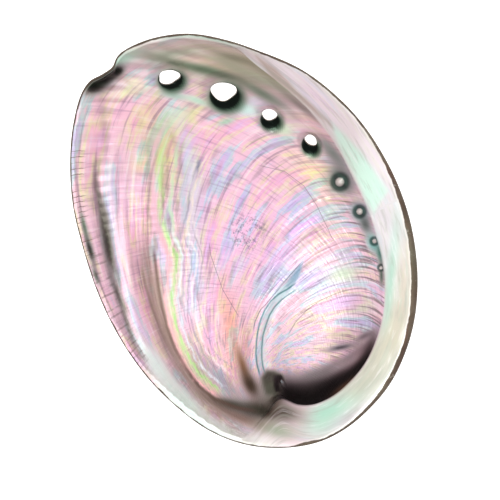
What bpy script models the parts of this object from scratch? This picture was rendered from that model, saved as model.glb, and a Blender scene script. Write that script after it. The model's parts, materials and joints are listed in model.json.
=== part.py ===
"""Abalone shell, one solid, lying on its back with the pearly mouth facing up.

The shell is a ball pushed in on itself. The upper half of a sphere becomes the inside of the
bowl and the lower half becomes its back. Each line of longitude is one spoke of the shell, and
follows a profile: across the floor, up the wall, under and over the inner shelf, round the rim
and down the back. The holes lie on a growth spiral that starts at the apex of the spire.
Sizes are in millimetres until to_metres, in a frame whose Z is square to the mouth.
"""
import math

import bmesh
import bpy
from mathutils import Matrix, Vector

# Overall form. Polar angles turn from +X, about the deepest point of the bowl.
DEPTH = 38.0
FLOOR_THICKNESS = 2.6
LIP_THICKNESS = 1.5
BACK_WALL_THICKNESS = 3.0

# The rim, seen square on: (angle in degrees, radius from the deepest point).
RIM = (
    (5, 52.1), (20, 55.8), (38, 62.6), (52, 69.3), (63, 74.6), (71, 79.8), (79, 85.2),
    (85, 88.0), (90, 89.6), (94.5, 90.2), (96.3, 89.6), (98.2, 88.0), (101, 88.3), (104, 89.4),
    (107.5, 88.3), (113, 84.5), (123, 77.2), (133, 70.7), (142, 65.5), (152, 61.5), (165, 58.2),
    (179, 56.4), (194, 56.2), (206, 57.0), (220, 59.0), (232, 60.3), (246, 60.9), (256, 60.8),
    (265, 59.7), (275, 57.9), (286, 56.0), (298, 53.6), (311, 51.5), (323, 50.1), (337, 49.5),
    (351, 50.2),
)
# How wide the pearly shelf is, measured in from the rim along a spoke.
SHELF_WIDTH = (
    (0, 13.0), (20, 13.5), (32, 12.6), (45, 11.0), (56, 8.6), (64, 5.4), (71, 1.6), (78, 0.0),
    (100, 0.0), (150, 0.0), (200, 0.0), (226, 0.0), (232, 4.5), (238, 12.0), (244, 16.4),
    (251, 14.0), (258, 12.5), (272, 11.6), (300, 11.2), (330, 11.6), (345, 12.4),
)
# How far the shelf overhangs the hollow behind it: 0 is a plain crease, 1 a full ledge.
OVERHANG = (
    (0, 1.0), (15, 0.9), (30, 0.55), (45, 0.12), (58, 0.0), (100, 0.0), (200, 0.0), (232, 0.0),
    (246, 0.3), (258, 0.8), (275, 1.0), (320, 1.0),
)
# How upright the wall is: 0 is the shallow outer lip, 1 the steep side under the holes.
STEEPNESS = (
    (0, 1.0), (30, 0.9), (60, 0.6), (85, 0.3), (110, 0.12), (140, 0.05), (175, 0.15),
    (205, 0.5), (230, 0.85), (260, 1.0), (310, 1.0),
)

# The inner shelf.
SHELF_DROP = 4.6
SHELF_EDGE = 2.3
SHELF_HOLLOW_TOP = 0.957

# The growth spiral about the apex, which every hole was laid down on in turn.
APEX = Vector((-16.0, -35.1))
GROWTH = 0.72
NOTCH_RADIUS = 121.4
NOTCH_ANGLE = 89.9
# The lip is seen from the apex from the inner lip, by the shelf, round to where the whorls meet.
LIP_START_ANGLE = 60.0
LIP_END_ANGLE = 250.0
INNER_LIP_SLOPE = 0.5
SUTURE_RADIUS = 22.0
HOLE_STEP = 8.82
# The open holes, youngest first: (places back from the notch, length along the row, width).
OPEN_HOLES = ((1.08, 7.6, 5.8), (2.09, 9.0, 7.4), (3.06, 5.8, 4.6), (4.12, 5.2, 4.6))
SEALED_HOLES = range(5, 17)
SEALED_RADIUS = 2.0
SEALED_SHRINK = 0.35
# The shoulder that the row runs along: raised on the back, hollow inside.
ROW_TURN = math.radians(200)
SHOULDER_HEIGHT = 1.3
SHOULDER_HOLLOW = 0.6
SHOULDER_REACH = 5.5
SHOULDER_LEAST = 1.0
# The raised tube round each open hole, and the knob over each sealed one.
TUBE_ROOT = 1.2
TUBE_TOP = 3.3
TUBE_WALL = 1.2
TUBE_FLARE = 5.2
KNOB_TOP = 2.3
# A knob's oval foot and top, as shares of its radius.
KNOB_FOOT = (2.6, 2.2)
KNOB_CROWN = (0.9, 0.75)
BORE_LEAN = 0.14
BORE_REACH = 14.0

# The spire: a low swelling over the first whorls, hollow inside as the pit is, with a coiled tip.
SPIRE_MIDDLE = APEX + Vector((9.0, -2.0))
SPIRE_SWELL = 4.4
SPIRE_REACH = 15.0
COIL_HEIGHT = 1.6
COIL_REACH = 8.0
CURL_PLACE = APEX + Vector((-3.5, 1.3))
CURL_HEIGHT = 2.4
CURL_REACH = 3.5

# Growth folds, each one an old edge of the shell: broad on the back, and two that show in the pearl.
FOLD_TURN = 27.0
FOLD_HEIGHT = 0.75
FOLD_START = 30.0
RIPPLE_AGE = 4.8
RIPPLE_WIDTH = 2.0
RIPPLE_HEIGHT = 0.8
TROUGH_AGE = 13.8
TROUGH_WIDTH = 4.0
TROUGH_DEPTH = 0.8
LIP_SIDE_START = 45.0
LIP_SIDE_RUN = 20.0

# Rest: the shell rocks on its back until its weight is over the worn spot.
REST_PITCH = -3.0
REST_ROLL = -0.6
WORN_DEPTH = 0.8

# Mesh density.
SPOKES = 96
FLOOR_STEPS = 13
SHELF_STEPS = 9
BACK_STEPS = 14
HOLE_SIDES = 20

MM = 0.001


def around(table, angle):
    """Reads a closed table of (angle, value) pairs, with a smooth curve from pair to pair."""
    count = len(table)
    angle = (angle - table[0][0]) % 360.0 + table[0][0]
    here = max(i for i in range(count) if table[i][0] <= angle)

    def pair(i):
        turns, index = divmod(i, count)
        return table[index][0] + 360.0 * turns, table[index][1]

    (a0, v0), (a1, v1), (a2, v2), (a3, v3) = (pair(here + k) for k in (-1, 0, 1, 2))
    span = a2 - a1
    slope_1 = (v2 - v0) / (a2 - a0) * span
    slope_2 = (v3 - v1) / (a3 - a1) * span
    t = (angle - a1) / span
    return (
        (2 * t**3 - 3 * t**2 + 1) * v1
        + (t**3 - 2 * t**2 + t) * slope_1
        + (3 * t**2 - 2 * t**3) * v2
        + (t**3 - t**2) * slope_2
    )


def mix(a, b, share):
    return a + (b - a) * share


def bump(distance, width):
    """A round swelling: 1 at its middle and near nothing two widths away."""
    return math.exp(-((distance / width) ** 2))


def spoke_facts(angle):
    """What the profile along one spoke is worked out from."""
    steep = around(STEEPNESS, angle)
    rim = around(RIM, angle)
    wall = mix(LIP_THICKNESS, BACK_WALL_THICKNESS, steep)
    width = max(around(SHELF_WIDTH, angle), 0.0)
    return {
        "rim": rim,
        "wall": wall,
        "inner": rim - wall,
        "edge": rim - wall - max(width - wall, 0.0) * min(width / 4.0, 1.0),
        "overhang": min(max(around(OVERHANG, angle), 0.0), 1.0),
        "across": mix(2.0, 2.45, steep),
        "upright": mix(1.12, 1.9, steep),
    }


def dome(radius, reach, depth, facts):
    """The height of a dome under one spoke, from -depth in the middle to 0 at its reach."""
    share = min(max(radius / reach, 0.0), 1.0)
    return -depth * (1.0 - share ** facts["across"]) ** (1.0 / facts["upright"])


def profile(angle):
    """The spoke's line as (radius, height) points: floor, wall, shelf, rim, and back to the middle."""
    facts = spoke_facts(angle)
    rim, wall, inner, edge = (facts[k] for k in ("rim", "wall", "inner", "edge"))
    over = facts["overhang"]
    floor_depth = DEPTH - FLOOR_THICKNESS

    def floor(radius):
        return Vector((radius, dome(radius, inner, floor_depth, facts)))

    floor_end = mix(edge - 3.0, inner * SHELF_HOLLOW_TOP, over)
    sweep = math.asin(floor_end / inner)
    line = [floor(inner * math.sin(sweep * i / FLOOR_STEPS)) for i in range(FLOOR_STEPS)]

    crease = [floor(edge - gap) for gap in (3.0, 2.3, 1.6, 1.0, 0.6, 0.3, 0.0)]
    under = -SHELF_DROP - SHELF_EDGE
    ledge = [
        floor(floor_end),
        Vector((inner * 0.975, under - 1.8)),
        Vector((inner * 0.955, under - 0.3)),
        Vector((mix(edge, inner, 0.5), under)),
        Vector((edge + 0.9, under)),
        Vector((edge - 0.3, under + 0.9)),
        Vector((edge, under + SHELF_EDGE)),
    ]
    line += [mix(plain, hung, over) for plain, hung in zip(crease, ledge)]
    crest = Vector((rim - 0.45 * wall, 0.15))
    line += [mix(line[-1], crest, share) for share in (0.45, 0.82)]
    line.append(crest)

    for i in range(BACK_STEPS + 1):
        radius = rim * math.cos(math.pi / 2 * i / BACK_STEPS)
        line.append(Vector((radius, dome(radius, rim, DEPTH, facts))))
    return line


PROFILE_STEPS = FLOOR_STEPS + SHELF_STEPS + BACK_STEPS + 1


def softened(line, step):
    """A point of the profile, eased towards its neighbours as a B-spline does."""
    if step in (0, len(line) - 1):
        return line[step]
    return (line[step - 1] + 4 * line[step] + line[step + 1]) / 6


def rim_point(angle):
    turn = math.radians(angle)
    return around(RIM, angle) * Vector((math.cos(turn), math.sin(turn)))


def even_spokes(count):
    """Angles that part the rim into equal lengths."""
    fine = [i * 0.5 for i in range(721)]
    points = [rim_point(angle) for angle in fine]
    run = [0.0]
    for here, there in zip(points, points[1:]):
        run.append(run[-1] + (there - here).length)
    angles = []
    at = 0
    for i in range(count):
        goal = run[-1] * i / count
        while run[at + 1] < goal:
            at += 1
        angles.append(mix(fine[at], fine[at + 1], (goal - run[at]) / (run[at + 1] - run[at])))
    return angles


def row_place(places_back):
    """Where the growth spiral of the holes is, a number of holes back from the notch."""
    turned = math.radians(HOLE_STEP * places_back)
    angle = math.radians(NOTCH_ANGLE) - turned
    radius = NOTCH_RADIUS * math.exp(-GROWTH * turned)
    return APEX + radius * Vector((math.cos(angle), math.sin(angle)))


def off_the_row(x, y):
    """How far a point is outside the spiral of the holes, in millimetres, and its turn about the apex."""
    arm = Vector((x, y)) - APEX
    angle = math.degrees(math.atan2(arm.y, arm.x))
    turned = math.radians((NOTCH_ANGLE - angle) % 360.0)
    row = NOTCH_RADIUS * math.exp(-GROWTH * turned)
    return (arm.length - row) / math.hypot(1.0, GROWTH), turned


def lip_from_apex():
    """The outer lip as the apex sees it: (angle in degrees, log of the distance), from the notch round."""
    seen = []
    for step in range(360):
        point = rim_point(step) - APEX
        angle = math.degrees(math.atan2(point.y, point.x)) % 360.0
        if LIP_START_ANGLE < angle < LIP_END_ANGLE:
            seen.append((angle, math.log(point.length)))
    return sorted(seen)


def lip_distance(lip, angle):
    """Log of the apex's distance to the lip at an angle about it, carried on past both ends."""
    if angle <= lip[0][0]:
        return lip[0][1] - INNER_LIP_SLOPE * math.radians(lip[0][0] - angle)
    for (a0, d0), (a1, d1) in zip(lip, lip[1:]):
        if angle <= a1:
            return mix(d0, d1, (angle - a0) / (a1 - a0))
    return lip[-1][1]


def growth_age(lip, x, y):
    """How many degrees of the spiral have grown since the lip stood at a place on the plan."""
    arm = Vector((x, y)) - APEX
    distance = math.log(max(arm.length, 0.2))
    angle = math.degrees(math.atan2(arm.y, arm.x))
    angle = (angle - LIP_END_ANGLE) % 360.0 + LIP_END_ANGLE - 360.0
    if distance < math.log(SUTURE_RADIUS) - GROWTH * math.radians(LIP_END_ANGLE - angle):
        angle -= 360.0
    young, old = -40.0, 900.0
    for _ in range(26):
        age = (young + old) / 2
        if lip_distance(lip, angle + age) - GROWTH * math.radians(age) > distance:
            young = age
        else:
            old = age
    return age


def relief(lip, x, y, outside):
    """How far the surface stands proud of the plain dome, in millimetres, along its own normal."""
    here = Vector((x, y))
    away, turned = off_the_row(x, y)
    size = math.exp(-GROWTH * turned)
    along_row = 1.0 if turned < ROW_TURN else 0.0
    shoulder = along_row * bump(away, SHOULDER_REACH * math.sqrt(size) + SHOULDER_LEAST)
    swell = SPIRE_SWELL * bump((here - SPIRE_MIDDLE).length, SPIRE_REACH)
    from_apex = (here - APEX).length
    age = growth_age(lip, x, y)
    if not outside:
        curl = CURL_HEIGHT * bump((here - CURL_PLACE).length, CURL_REACH)
        far_side = min(max((from_apex - LIP_SIDE_START) / LIP_SIDE_RUN, 0.0), 1.0) * (1.0 - shoulder)
        ripple = RIPPLE_HEIGHT * bump(age - RIPPLE_AGE, RIPPLE_WIDTH)
        trough = TROUGH_DEPTH * bump(age - TROUGH_AGE, TROUGH_WIDTH)
        return curl + far_side * (ripple - trough) - swell - SHOULDER_HOLLOW * shoulder
    coil = COIL_HEIGHT * bump(from_apex, COIL_REACH)
    fold = FOLD_HEIGHT * min(from_apex / FOLD_START, 1.0) * math.sin(math.tau * age / FOLD_TURN)
    return SHOULDER_HEIGHT * shoulder + swell + coil + fold


def surface(x, y, depth, reach_key):
    """A point of the plain dome above or below a place on the plan."""
    angle = math.degrees(math.atan2(y, x))
    facts = spoke_facts(angle)
    return Vector((x, y, dome(math.hypot(x, y), facts[reach_key], depth, facts)))


def outward(x, y):
    """The direction straight out of the back of the shell at a place on the plan."""
    gap = 0.5
    here = surface(x, y, DEPTH, "rim")
    across = surface(x + gap, y, DEPTH, "rim") - here
    along = surface(x, y + gap, DEPTH, "rim") - here
    return along.cross(across).normalized()


def new_object(name, bm):
    mesh = bpy.data.meshes.new(name)
    bm.to_mesh(mesh)
    bm.free()
    obj = bpy.data.objects.new(name, mesh)
    bpy.context.scene.collection.objects.link(obj)
    return obj


def make_bowl():
    """The whole shell but for its holes, from a sphere whose rings and meridians follow the profiles."""
    bm = bmesh.new()
    bmesh.ops.create_uvsphere(bm, u_segments=SPOKES, v_segments=PROFILE_STEPS, radius=1.0)
    angles = even_spokes(SPOKES)
    lines = [profile(angle) for angle in angles]
    steps = {}
    for vert in bm.verts:
        x, y, z = vert.co
        step = round(math.acos(max(-1.0, min(1.0, z))) / math.pi * PROFILE_STEPS)
        spoke = round(math.atan2(y, x) / math.tau * SPOKES) % SPOKES
        radius, height = softened(lines[spoke], step)
        angle = math.radians(angles[spoke])
        vert.co = (radius * math.cos(angle), radius * math.sin(angle), height)
        steps[vert] = step
    bm.normal_update()
    rim_step = FLOOR_STEPS + SHELF_STEPS
    lip = lip_from_apex()
    proud = {}
    for vert, step in steps.items():
        if abs(step - rim_step) > 2 and not FLOOR_STEPS < step < rim_step:
            proud[vert] = relief(lip, vert.co.x, vert.co.y, step > rim_step)
    for vert, height in proud.items():
        vert.co += vert.normal * height
    return new_object("shell", bm)


def make_stub(name, place, axis, low, high, low_radii, high_radii, turn):
    """A short tapered plug along an axis, from low to high along it, oval in section."""
    bm = bmesh.new()
    made = bmesh.ops.create_cone(
        bm, cap_ends=True, segments=HOLE_SIDES, radius1=1.0, radius2=1.0, depth=1.0
    )
    for vert in made["verts"]:
        top = vert.co.z > 0
        radii = high_radii if top else low_radii
        vert.co.x *= radii[0]
        vert.co.y *= radii[1]
        vert.co.z = high if top else low
    frame = axis.to_track_quat("Z", "Y").to_matrix()
    sideways = frame.transposed() @ Vector((math.cos(turn), math.sin(turn), 0.0))
    spin = Matrix.Rotation(math.atan2(sideways.y, sideways.x), 3, "Z")
    bmesh.ops.transform(bm, matrix=Matrix.Translation(place) @ (frame @ spin).to_4x4(), verts=bm.verts)
    return new_object(name, bm)


def set_aside(obj):
    """Marks a helper that shapes the shell and isn't part of it."""
    obj.hide_render = True
    obj.display_type = "WIRE"
    return obj


def row_turn(places_back):
    """The direction in which the row of holes runs, as an angle on the plan."""
    ahead = row_place(places_back - 0.1) - row_place(places_back + 0.1)
    return math.atan2(ahead.y, ahead.x)


def tubes_and_cutters():
    """Raised tubes round the open holes, low knobs where old holes are sealed, and the cutters."""
    tubes = []
    cutters = []
    for number, (back, length, width) in enumerate(OPEN_HOLES):
        place = row_place(back)
        out = outward(place.x, place.y)
        foot = surface(place.x, place.y, DEPTH, "rim")
        radii = Vector((length / 2, width / 2))
        base = radii + Vector((TUBE_FLARE, TUBE_FLARE))
        lip = radii + Vector((TUBE_WALL, TUBE_WALL))
        turn = row_turn(back)
        tubes.append(make_stub(f"tube_{number}", foot, out, -TUBE_ROOT, TUBE_TOP, base, lip, turn))
        away = Vector((place.x, place.y, 0.0)).normalized()
        axis = (BORE_LEAN * away + Vector((0.0, 0.0, -1.0))).normalized()
        bore = make_stub(f"bore_{number}", foot, axis, -BORE_REACH, BORE_REACH, radii, radii, turn)
        cutters.append(bore)
    for back in SEALED_HOLES:
        place = row_place(back)
        out = outward(place.x, place.y)
        foot = surface(place.x, place.y, DEPTH, "rim")
        grown = math.radians(HOLE_STEP * (back - SEALED_HOLES[0]))
        size = SEALED_RADIUS * math.exp(-SEALED_SHRINK * GROWTH * grown)
        base = size * Vector(KNOB_FOOT)
        lip = size * Vector(KNOB_CROWN)
        tubes.append(make_stub(f"knob_{back}", foot, out, -TUBE_ROOT, KNOB_TOP, base, lip, row_turn(back)))
    return [set_aside(o) for o in tubes], [set_aside(o) for o in cutters]


def pearl_material():
    material = bpy.data.materials.new("nacre")
    shader = material.node_tree.nodes["Principled BSDF"] if material.node_tree else None
    if shader is None:
        material.use_nodes = True
        shader = material.node_tree.nodes["Principled BSDF"]
    shader.inputs["Base Color"].default_value = (0.80, 0.70, 0.76, 1.0)
    shader.inputs["Roughness"].default_value = 0.25
    shader.inputs["Metallic"].default_value = 0.0
    return material


def fuse(shell, tubes, cutters):
    """Joins the tubes and knobs to the shell and opens the holes, then keeps the result as the mesh."""
    for helper in tubes:
        joined = shell.modifiers.new(f"join_{helper.name}", "BOOLEAN")
        joined.operation = "UNION"
        joined.solver = "EXACT"
        joined.object = helper
    for helper in cutters:
        cut = shell.modifiers.new(f"cut_{helper.name}", "BOOLEAN")
        cut.operation = "DIFFERENCE"
        cut.solver = "EXACT"
        cut.object = helper
    graph = bpy.context.evaluated_depsgraph_get()
    mesh = bpy.data.meshes.new_from_object(shell.evaluated_get(graph))
    shell.modifiers.clear()
    shell.data = mesh


def lay_down(shell):
    """Tips the shell to where it balances, wears a flat spot there, and centres it over the origin."""
    tip = Matrix.Rotation(math.radians(REST_ROLL), 4, "Y") @ Matrix.Rotation(
        math.radians(REST_PITCH), 4, "X"
    )
    shell.data.transform(tip)
    lowest = min(vert.co.z for vert in shell.data.vertices) + WORN_DEPTH
    for vert in shell.data.vertices:
        vert.co.z = max(vert.co.z, lowest)
    corners = [Vector(vert.co) for vert in shell.data.vertices]
    middle = [(min(c[k] for c in corners) + max(c[k] for c in corners)) / 2 for k in (0, 1)]
    shell.data.transform(Matrix.Translation((-middle[0], -middle[1], -lowest)))


def to_metres(shell):
    shell.data.transform(Matrix.Scale(MM, 4))


def main():
    for old in list(bpy.data.objects):
        bpy.data.objects.remove(old)
    shell = make_bowl()
    tubes, cutters = tubes_and_cutters()
    fuse(shell, tubes, cutters)
    for helper in tubes + cutters:
        bpy.data.objects.remove(helper)
    lay_down(shell)
    to_metres(shell)
    shell.data.materials.clear()
    shell.data.materials.append(pearl_material())
    shell.data.shade_smooth()


main()
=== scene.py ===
# %% [markdown]
# An abalone shell, in cells. The real shell is one piece that grew from a tiny spire, so it is modelled
# as one mesh. Everything on it follows two families of lines: growth lines, which are old edges of the
# mouth, and spirals, along which the edge moved. Both are worked out once and used for shape and colour.

# %% Load the frame
import json
import math

import bmesh
import bpy
import numpy as np
from mathutils import Matrix, Vector
from mathutils.kdtree import KDTree

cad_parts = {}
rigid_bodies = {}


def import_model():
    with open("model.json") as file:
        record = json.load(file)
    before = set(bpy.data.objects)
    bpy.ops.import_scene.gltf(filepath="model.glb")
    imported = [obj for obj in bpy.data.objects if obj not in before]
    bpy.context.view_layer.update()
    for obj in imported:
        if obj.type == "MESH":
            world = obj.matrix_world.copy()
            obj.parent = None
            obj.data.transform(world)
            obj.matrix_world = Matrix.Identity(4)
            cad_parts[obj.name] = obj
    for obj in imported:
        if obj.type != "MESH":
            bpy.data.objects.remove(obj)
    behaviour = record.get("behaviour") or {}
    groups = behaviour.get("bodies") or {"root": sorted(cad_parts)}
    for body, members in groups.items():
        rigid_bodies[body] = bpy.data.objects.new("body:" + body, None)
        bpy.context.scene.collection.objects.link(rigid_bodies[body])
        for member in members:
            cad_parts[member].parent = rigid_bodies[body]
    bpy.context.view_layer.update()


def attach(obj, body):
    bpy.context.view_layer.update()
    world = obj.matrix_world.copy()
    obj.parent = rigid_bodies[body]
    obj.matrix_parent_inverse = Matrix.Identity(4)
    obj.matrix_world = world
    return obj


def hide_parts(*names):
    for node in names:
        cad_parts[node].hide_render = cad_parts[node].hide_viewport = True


for leftover in list(bpy.data.objects):
    bpy.data.objects.remove(leftover)
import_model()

# %% [markdown]
# Small tools come first. Tables of a few pairs are read with a smooth curve, so that an outline keeps
# only the points its shape needs. Noise is worked out from sines, so that it is the same on every run.

# %% Curves, swellings and noise
MM = 0.001


def around(table, angle):
    """Reads a closed table of (angle, value) pairs with a smooth curve, for an array of angles."""
    knots, values = np.array(table, float).T
    angle = (np.asarray(angle, float) - knots[0]) % 360.0 + knots[0]
    here = np.searchsorted(knots, angle, side="right") - 1

    def pair(index):
        turns, slot = np.divmod(index, len(knots))
        return knots[slot] + 360.0 * turns, values[slot]

    (a0, v0), (a1, v1), (a2, v2), (a3, v3) = (pair(here + k) for k in (-1, 0, 1, 2))
    span = a2 - a1
    t = (angle - a1) / span
    slope_1 = (v2 - v0) / (a2 - a0) * span
    slope_2 = (v3 - v1) / (a3 - a1) * span
    return (
        (2 * t**3 - 3 * t**2 + 1) * v1
        + (t**3 - 2 * t**2 + t) * slope_1
        + (3 * t**2 - 2 * t**3) * v2
        + (t**3 - t**2) * slope_2
    )


def mix(a, b, share):
    return a + (b - a) * share


def ease(low, high, value):
    """Rises smoothly from 0 at low to 1 at high."""
    t = np.clip((value - low) / (high - low), 0.0, 1.0)
    return t * t * (3 - 2 * t)


def window(value, rise, fall):
    """1 between two slopes and 0 outside them. Each slope is given by where it starts and ends."""
    return ease(*rise, value) * (1 - ease(*fall, value))


def bump(distance, width):
    """A round swelling: 1 in its middle and near nothing two widths away."""
    return np.exp(-((distance / width) ** 2))


# Any large uneven numbers do here: they scatter the heights of the noise's cells.
SCATTER_U = 127.1
SCATTER_V = 311.7
SCATTER_SEED = 74.7
SCATTER = 43758.5453


def grain(u, v, seed=0.0):
    """Smooth noise between -1 and 1 over a plane, with cells one unit wide."""
    cell_u, cell_v = np.floor(u), np.floor(v)
    share_u, share_v = u - cell_u, v - cell_v
    share_u = share_u * share_u * (3 - 2 * share_u)
    share_v = share_v * share_v * (3 - 2 * share_v)

    def corner(du, dv):
        phase = (cell_u + du) * SCATTER_U + (cell_v + dv) * SCATTER_V + seed * SCATTER_SEED
        wave = np.sin(phase) * SCATTER
        return 2 * (wave - np.floor(wave)) - 1

    near = mix(corner(0, 0), corner(1, 0), share_u)
    far = mix(corner(0, 1), corner(1, 1), share_u)
    return mix(near, far, share_v)


print("a swelling at 0, 1 and 2 widths:", [round(float(bump(gap, 1.0)), 3) for gap in (0, 1, 2)])

# %% [markdown]
# The photograph looks square into the mouth, with the shell's long axis leaning 30 degrees to the
# left. Features seen there are given by their pixel and turned into millimetres in the shell's own
# frame, whose zero is the deepest point of the bowl and whose Y runs along the shell's length.

# %% From the photograph to the shell
LENGTH = 150.0
LENGTH_IN_PIXELS = 441.6
PIXEL = LENGTH / LENGTH_IN_PIXELS
BOWL_PIXEL = (272.0, 270.0)
LEAN = math.radians(30.0)


def from_photo(points):
    """Turns pixels of the photograph into millimetres on the plan of the shell."""
    points = np.asarray(points, float)
    across = (points[..., 0] - BOWL_PIXEL[0]) * PIXEL
    up = (BOWL_PIXEL[1] - points[..., 1]) * PIXEL
    x = across * math.cos(LEAN) + up * math.sin(LEAN)
    y = up * math.cos(LEAN) - across * math.sin(LEAN)
    return np.stack([x, y], -1)


def to_photo(x, y):
    """Turns places on the plan into pixels of the photograph."""
    across = x * math.cos(LEAN) - y * math.sin(LEAN)
    up = x * math.sin(LEAN) + y * math.cos(LEAN)
    return BOWL_PIXEL[0] + across / PIXEL, BOWL_PIXEL[1] - up / PIXEL


print("millimetres to a pixel:", round(PIXEL, 4))

# %% [markdown]
# The growth of the shell. Seen from the apex of the spire, the holes lie on a logarithmic spiral. The
# lip kept its form while it grew along that spiral, so the lip's own outline, shrunk and turned back,
# gives every older growth line. A place's age is how many degrees the spiral has turned since the lip
# stood there. Its berth is where on the lip it was laid down, and its lane is which spiral it is on.

# %% The growth spiral
APEX = np.array([-16.0, -35.1])
GROWTH = 0.72
NOTCH_RADIUS = 121.4
NOTCH_ANGLE = 89.9
HOLE_STEP = 8.82
SUTURE_ANGLE = 250.0
SUTURE_RADIUS = 22.0
# The lip about the apex: (angle in degrees, distance in millimetres).
LIP = np.array((
    (60.0, 107.0), (65.6, 114.4), (71.8, 120.7), (76.0, 123.6), (80.3, 125.0), (85.5, 124.0),
    (90.4, 122.1), (95.2, 119.7), (98.7, 114.1), (102.0, 108.7), (105.0, 102.8), (110.5, 92.4),
    (114.9, 83.9), (121.1, 74.5), (128.4, 64.7), (137.8, 54.6), (150.9, 44.2), (163.9, 36.7),
    (185.2, 29.5), (207.2, 25.1), (228.7, 22.5), (241.8, 22.1), (250.0, 22.0),
))
INNER_LIP_SLOPE = 0.5
# The lip is read at a few angles side by side, in degrees, and their mean rounds its corners.
LIP_BLUR = (-3.6, -1.8, 0.0, 1.8, 3.6)
# The search for a place's age, in degrees, and the least distance to the apex that it works with.
NEAREST = 0.2
YOUNGEST = -40.0
OLDEST = 900.0
HALVINGS = 36


def lip_distance(angle):
    """Log of the apex's distance to the lip, carried on inwards past the part next to the shelf."""
    beyond = np.radians(np.maximum(LIP[0, 0] - angle, 0.0))
    radius = sum(np.interp(angle + shift, LIP[:, 0], np.log(LIP[:, 1])) for shift in LIP_BLUR)
    return radius / len(LIP_BLUR) - INNER_LIP_SLOPE * beyond


def angle_about_apex(x, y):
    """Degrees about the apex, in the turn that ends at the suture, the seam of the spire."""
    angle = np.degrees(np.arctan2(y - APEX[1], x - APEX[0]))
    return (angle - SUTURE_ANGLE) % 360.0 + SUTURE_ANGLE - 360.0


def suture_distance(angle):
    """Log of the apex's distance to the suture."""
    return math.log(SUTURE_RADIUS) - GROWTH * np.radians(SUTURE_ANGLE - angle)


def growth(x, y):
    """Age, berth and lane of places on the plan, and their distance from the apex."""
    from_apex = np.hypot(x - APEX[0], y - APEX[1])
    distance = np.log(np.maximum(from_apex, NEAREST))
    angle = angle_about_apex(x, y)
    angle = np.where(distance < suture_distance(angle), angle - 360.0, angle)
    young, old = np.full(angle.shape, YOUNGEST), np.full(angle.shape, OLDEST)
    for _ in range(HALVINGS):
        age = (young + old) / 2
        too_young = lip_distance(angle + age) - GROWTH * np.radians(age) > distance
        young, old = np.where(too_young, age, young), np.where(too_young, old, age)
    lane = distance - GROWTH * np.radians(angle)
    return age, angle + age, lane, from_apex


def row_place(places_back):
    """A place on the spiral of the holes, a number of holes back from the notch."""
    turned = math.radians(HOLE_STEP * places_back)
    angle = math.radians(NOTCH_ANGLE) - turned
    return APEX + NOTCH_RADIUS * math.exp(-GROWTH * turned) * np.array([math.cos(angle), math.sin(angle)])


def off_the_row(x, y):
    """Distance outside the spiral of the holes, and how far round it a place is, in radians."""
    from_apex = np.hypot(x - APEX[0], y - APEX[1])
    angle = np.degrees(np.arctan2(y - APEX[1], x - APEX[0]))
    turned = np.radians((NOTCH_ANGLE - angle) % 360.0)
    row = NOTCH_RADIUS * np.exp(-GROWTH * turned)
    return (from_apex - row) / math.hypot(1.0, GROWTH), turned


print("hole places:", [tuple(round(float(v), 1) for v in row_place(k)) for k in (1, 2, 3, 4)])

# %% [markdown]
# The body is a ball pushed in on itself, as in the CAD: its upper half becomes the pearly inside and
# its lower half the back. Each meridian is one spoke, and follows a profile of 37 points: over the
# floor, under and round the shelf, across the rim and down the back. The tables repeat the CAD's. A
# turned or lofted bowl wouldn't do, because the shelf hangs over the floor on one side only.

# %% The outline and the shelf
DEPTH = 38.0
FLOOR_THICKNESS = 2.6
LIP_THICKNESS = 1.5
BACK_WALL_THICKNESS = 3.0
SHELF_DROP = 4.6
SHELF_EDGE = 2.3
SHELF_HOLLOW_TOP = 0.957
SHELF_RAMP = 4.0
# How full the dome is where the wall is flat and where it is steep.
DOME_ACROSS = (2.0, 2.45)
DOME_UPRIGHT = (1.12, 1.9)
RIM = (
    (5, 52.1), (20, 55.8), (38, 62.6), (52, 69.3), (63, 74.6), (71, 79.8), (79, 85.2),
    (85, 88.0), (90, 89.6), (94.5, 90.2), (96.3, 89.6), (98.2, 88.0), (101, 88.3), (104, 89.4),
    (107.5, 88.3), (113, 84.5), (123, 77.2), (133, 70.7), (142, 65.5), (152, 61.5), (165, 58.2),
    (179, 56.4), (194, 56.2), (206, 57.0), (220, 59.0), (232, 60.3), (246, 60.9), (256, 60.8),
    (265, 59.7), (275, 57.9), (286, 56.0), (298, 53.6), (311, 51.5), (323, 50.1), (337, 49.5),
    (351, 50.2),
)
SHELF_WIDTH = (
    (0, 13.0), (20, 13.5), (32, 12.6), (45, 11.0), (56, 8.6), (64, 5.4), (71, 1.6), (78, 0.0),
    (100, 0.0), (150, 0.0), (200, 0.0), (226, 0.0), (232, 4.5), (238, 12.0), (244, 16.4),
    (251, 14.0), (258, 12.5), (272, 11.6), (300, 11.2), (330, 11.6), (345, 12.4),
)
OVERHANG = (
    (0, 1.0), (15, 0.9), (30, 0.55), (45, 0.12), (58, 0.0), (100, 0.0), (200, 0.0), (232, 0.0),
    (246, 0.3), (258, 0.8), (275, 1.0), (320, 1.0),
)
STEEPNESS = (
    (0, 1.0), (30, 0.9), (60, 0.6), (85, 0.3), (110, 0.12), (140, 0.05), (175, 0.15),
    (205, 0.5), (230, 0.85), (260, 1.0), (310, 1.0),
)
FLOOR_STEPS = 13
SHELF_STEPS = 9
BACK_STEPS = 14
RIM_STEP = FLOOR_STEPS + SHELF_STEPS


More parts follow.
